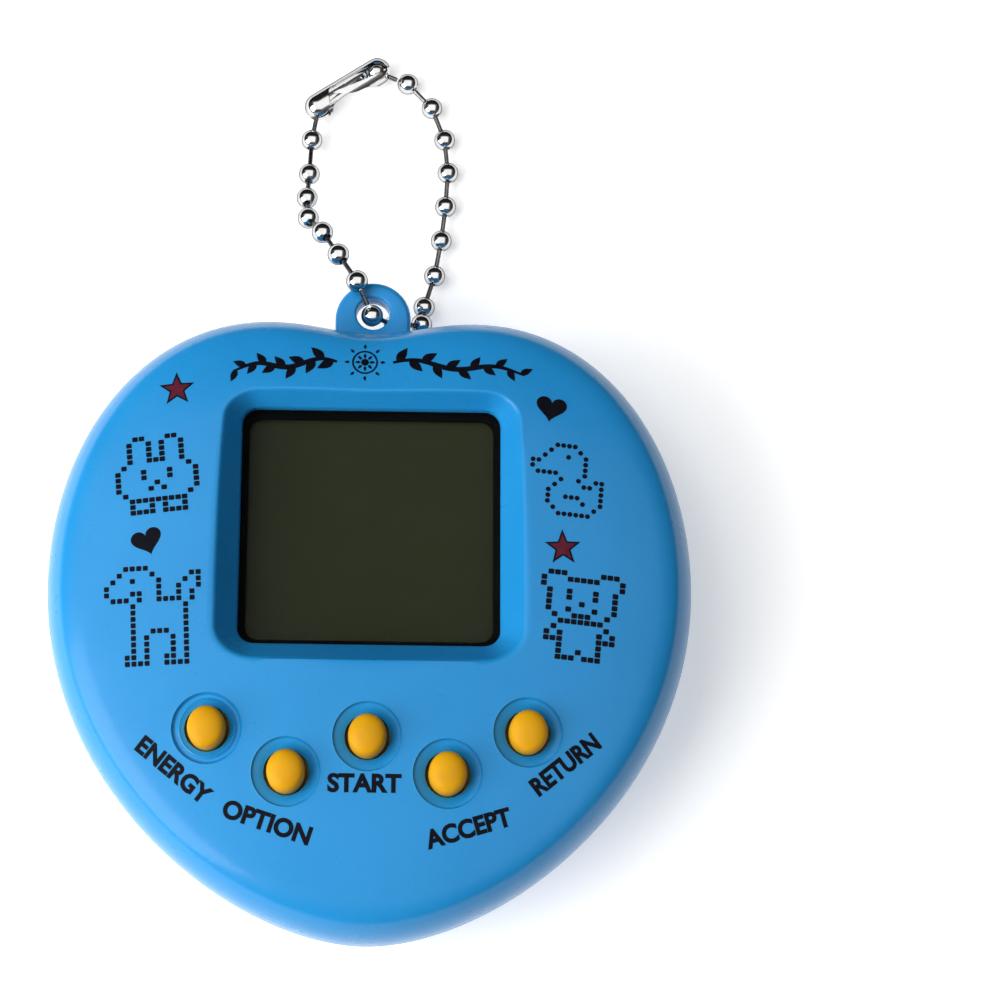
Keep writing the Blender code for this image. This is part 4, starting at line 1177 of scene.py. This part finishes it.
# Sheets of the connector: distance along it, and the angles where its edges are.
CLASP_HALF = CLASP_LENGTH / 2
CLASP_CHANNEL = [(-CLASP_HALF, -148, 150), (-4.2, -148, 152), (-3.4, -148, 150), (-2.75, -146, 134),
                 (-2.3, -128, 92), (-1.8, -100, 64), (-0.6, -88, 56), (0.8, -90, 56), (2.0, -104, 58),
                 (2.8, -138, 62), (3.6, -148, 66), (4.2, -148, 84), (4.6, -148, 120),
                 (CLASP_HALF, -148, 150)]
CLASP_TONGUE = [(-1.7, 86, 92), (-1.2, 90, 106), (-0.4, 96, 126), (0.5, 102, 140), (1.4, 108, 146),
                (2.2, 112, 160), (3.0, 116, 194), (3.6, 120, 211), (4.2, 126, 211)]


def clasp_radius(along):
    """Outer radius of the connector at a distance along it from its middle."""
    past = abs(along) - (CLASP_HALF - CLASP_RADIUS)
    return CLASP_RADIUS if past <= 0 else math.sqrt(max(CLASP_RADIUS ** 2 - past ** 2, 0.0025))


def add_folded_sheet(bm, place, rows, columns):
    """A curved sheet with thickness; rows are (distance along, start angle, end angle) in degrees."""
    skins = []
    for inset in (0.0, CLASP_SHEET):
        skin = []
        for along, start, end in rows:
            radius = max(clasp_radius(along) - inset, 0.02)
            angles = [math.radians(start + (end - start) * step / columns)
                      for step in range(columns + 1)]
            shorten = 1 - inset / CLASP_HALF
            skin.append([bm.verts.new(place(along * shorten, radius, a)) for a in angles])
        skins.append(skin)
    outer, inner = skins
    join_rings(bm, outer, closed=False)
    join_rings(bm, inner, closed=False)
    edges = [(outer[0], inner[0]), (outer[-1], inner[-1])]
    edges += [([row[0] for row in outer], [row[0] for row in inner]),
              ([row[-1] for row in outer], [row[-1] for row in inner])]
    for a, b in edges:
        join_rings(bm, [a, b], closed=False)


def make_clasp():
    """Folded connector: a channel with domed ends and a wavy tongue along its open side."""
    left, right = Vector(LEFT_STRAND[-1]), Vector(RIGHT_STRAND[-1])
    middle = (left + right) / 2
    along_axis = (right - left).normalized()
    out = Vector((along_axis.y, -along_axis.x, 0)).normalized()
    out = out if out.y > 0 else -out
    up = along_axis.cross(out)
    up = up if up.z > 0 else -up

    def place(along, radius, angle):
        return middle + along_axis * along + (out * math.cos(angle) + up * math.sin(angle)) * radius

    bm = bmesh.new()
    for sheet, columns in ((CLASP_CHANNEL, 26), (CLASP_TONGUE, 10)):
        rows = [(min(max(row[0], -CLASP_HALF), CLASP_HALF), row[1], row[2])
                for row in smooth_curve(sheet, 6)]
        add_folded_sheet(bm, place, rows, columns)
    piece = finish_mesh("connector", bm, "chrome", 50)
    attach(piece, "clasp")
    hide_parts("chain_clasp")


def make_chain():
    make_bead(1, EYE_BEAD, None, LEFT_STRAND[0])
    make_bead(2, UNDER_BEAD, EYE_BEAD, RIGHT_STRAND[0])
    for first, strand, start in ((3, LEFT_STRAND, EYE_BEAD), (11, RIGHT_STRAND, UNDER_BEAD)):
        for step, place in enumerate(strand):
            before = strand[step - 1] if step else start
            after = strand[step + 1] if step + 1 < len(strand) else None
            make_bead(first + step, place, before, after)
    make_clasp()


# ---- assembly

# What the CAD nodes that stay are made of, by how their names start.
CAD_LOOKS = {
    "lens": ("screen_lens",),
    # The gasket's near-black colour is partly painted shade inside the window's opening.
    "foam": ("screen_gasket",),
    "lcd": ("lcd_panel",),
    "silver": ("lcd_reflector",),
    "rubber": ("zebra_strip", "rubber_dome"),
    "board": ("circuit_board",),
    "resin": ("chip_blob", "capacitor", "resistor", "buzzer_wire_black"),
    "brass": ("buzzer_plate",),
    "ceramic": ("buzzer_ceramic",),
    "red_wire": ("buzzer_wire_red",),
    "steel": ("battery_cell", "contact", "case_screw", "board_screw", "door_screw"),
}


def dress_cad_nodes():
    for name, node in frame["nodes"].items():
        for look, prefixes in CAD_LOOKS.items():
            if name.startswith(prefixes):
                for slot in node.material_slots:
                    slot.material = MATERIALS[look]


FLOOR_REACH = 4000.0
FLOOR_DROP = 0.02


def make_floor():
    bm = bmesh.new()
    corners = [(-1, -1), (1, -1), (1, 1), (-1, 1)]
    bm.faces.new([bm.verts.new((x * FLOOR_REACH, y * FLOOR_REACH, -FLOOR_DROP)) for x, y in corners])
    floor = finish_mesh("floor", bm, "floor")


def make_case():
    for make, node, body in ((make_front_shell, "front_shell", "case"),
                             (make_rear_shell, "rear_shell", "case"),
                             (make_battery_door, "battery_door", "battery_door")):
        piece = make()
        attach(piece, body)
        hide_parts(node)


def make_buttons():
    for name, place in BUTTON_PLACES.items():
        piece = make_button(name, place)
        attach(piece, f"button_{name}")
        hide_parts(f"button_{name}")


make_floor()
make_case()
make_buttons()
make_stars_and_hearts()
make_animals()
for label in LABELS:
    make_label(*label)
make_garland()
make_chain()
dress_cad_nodes()
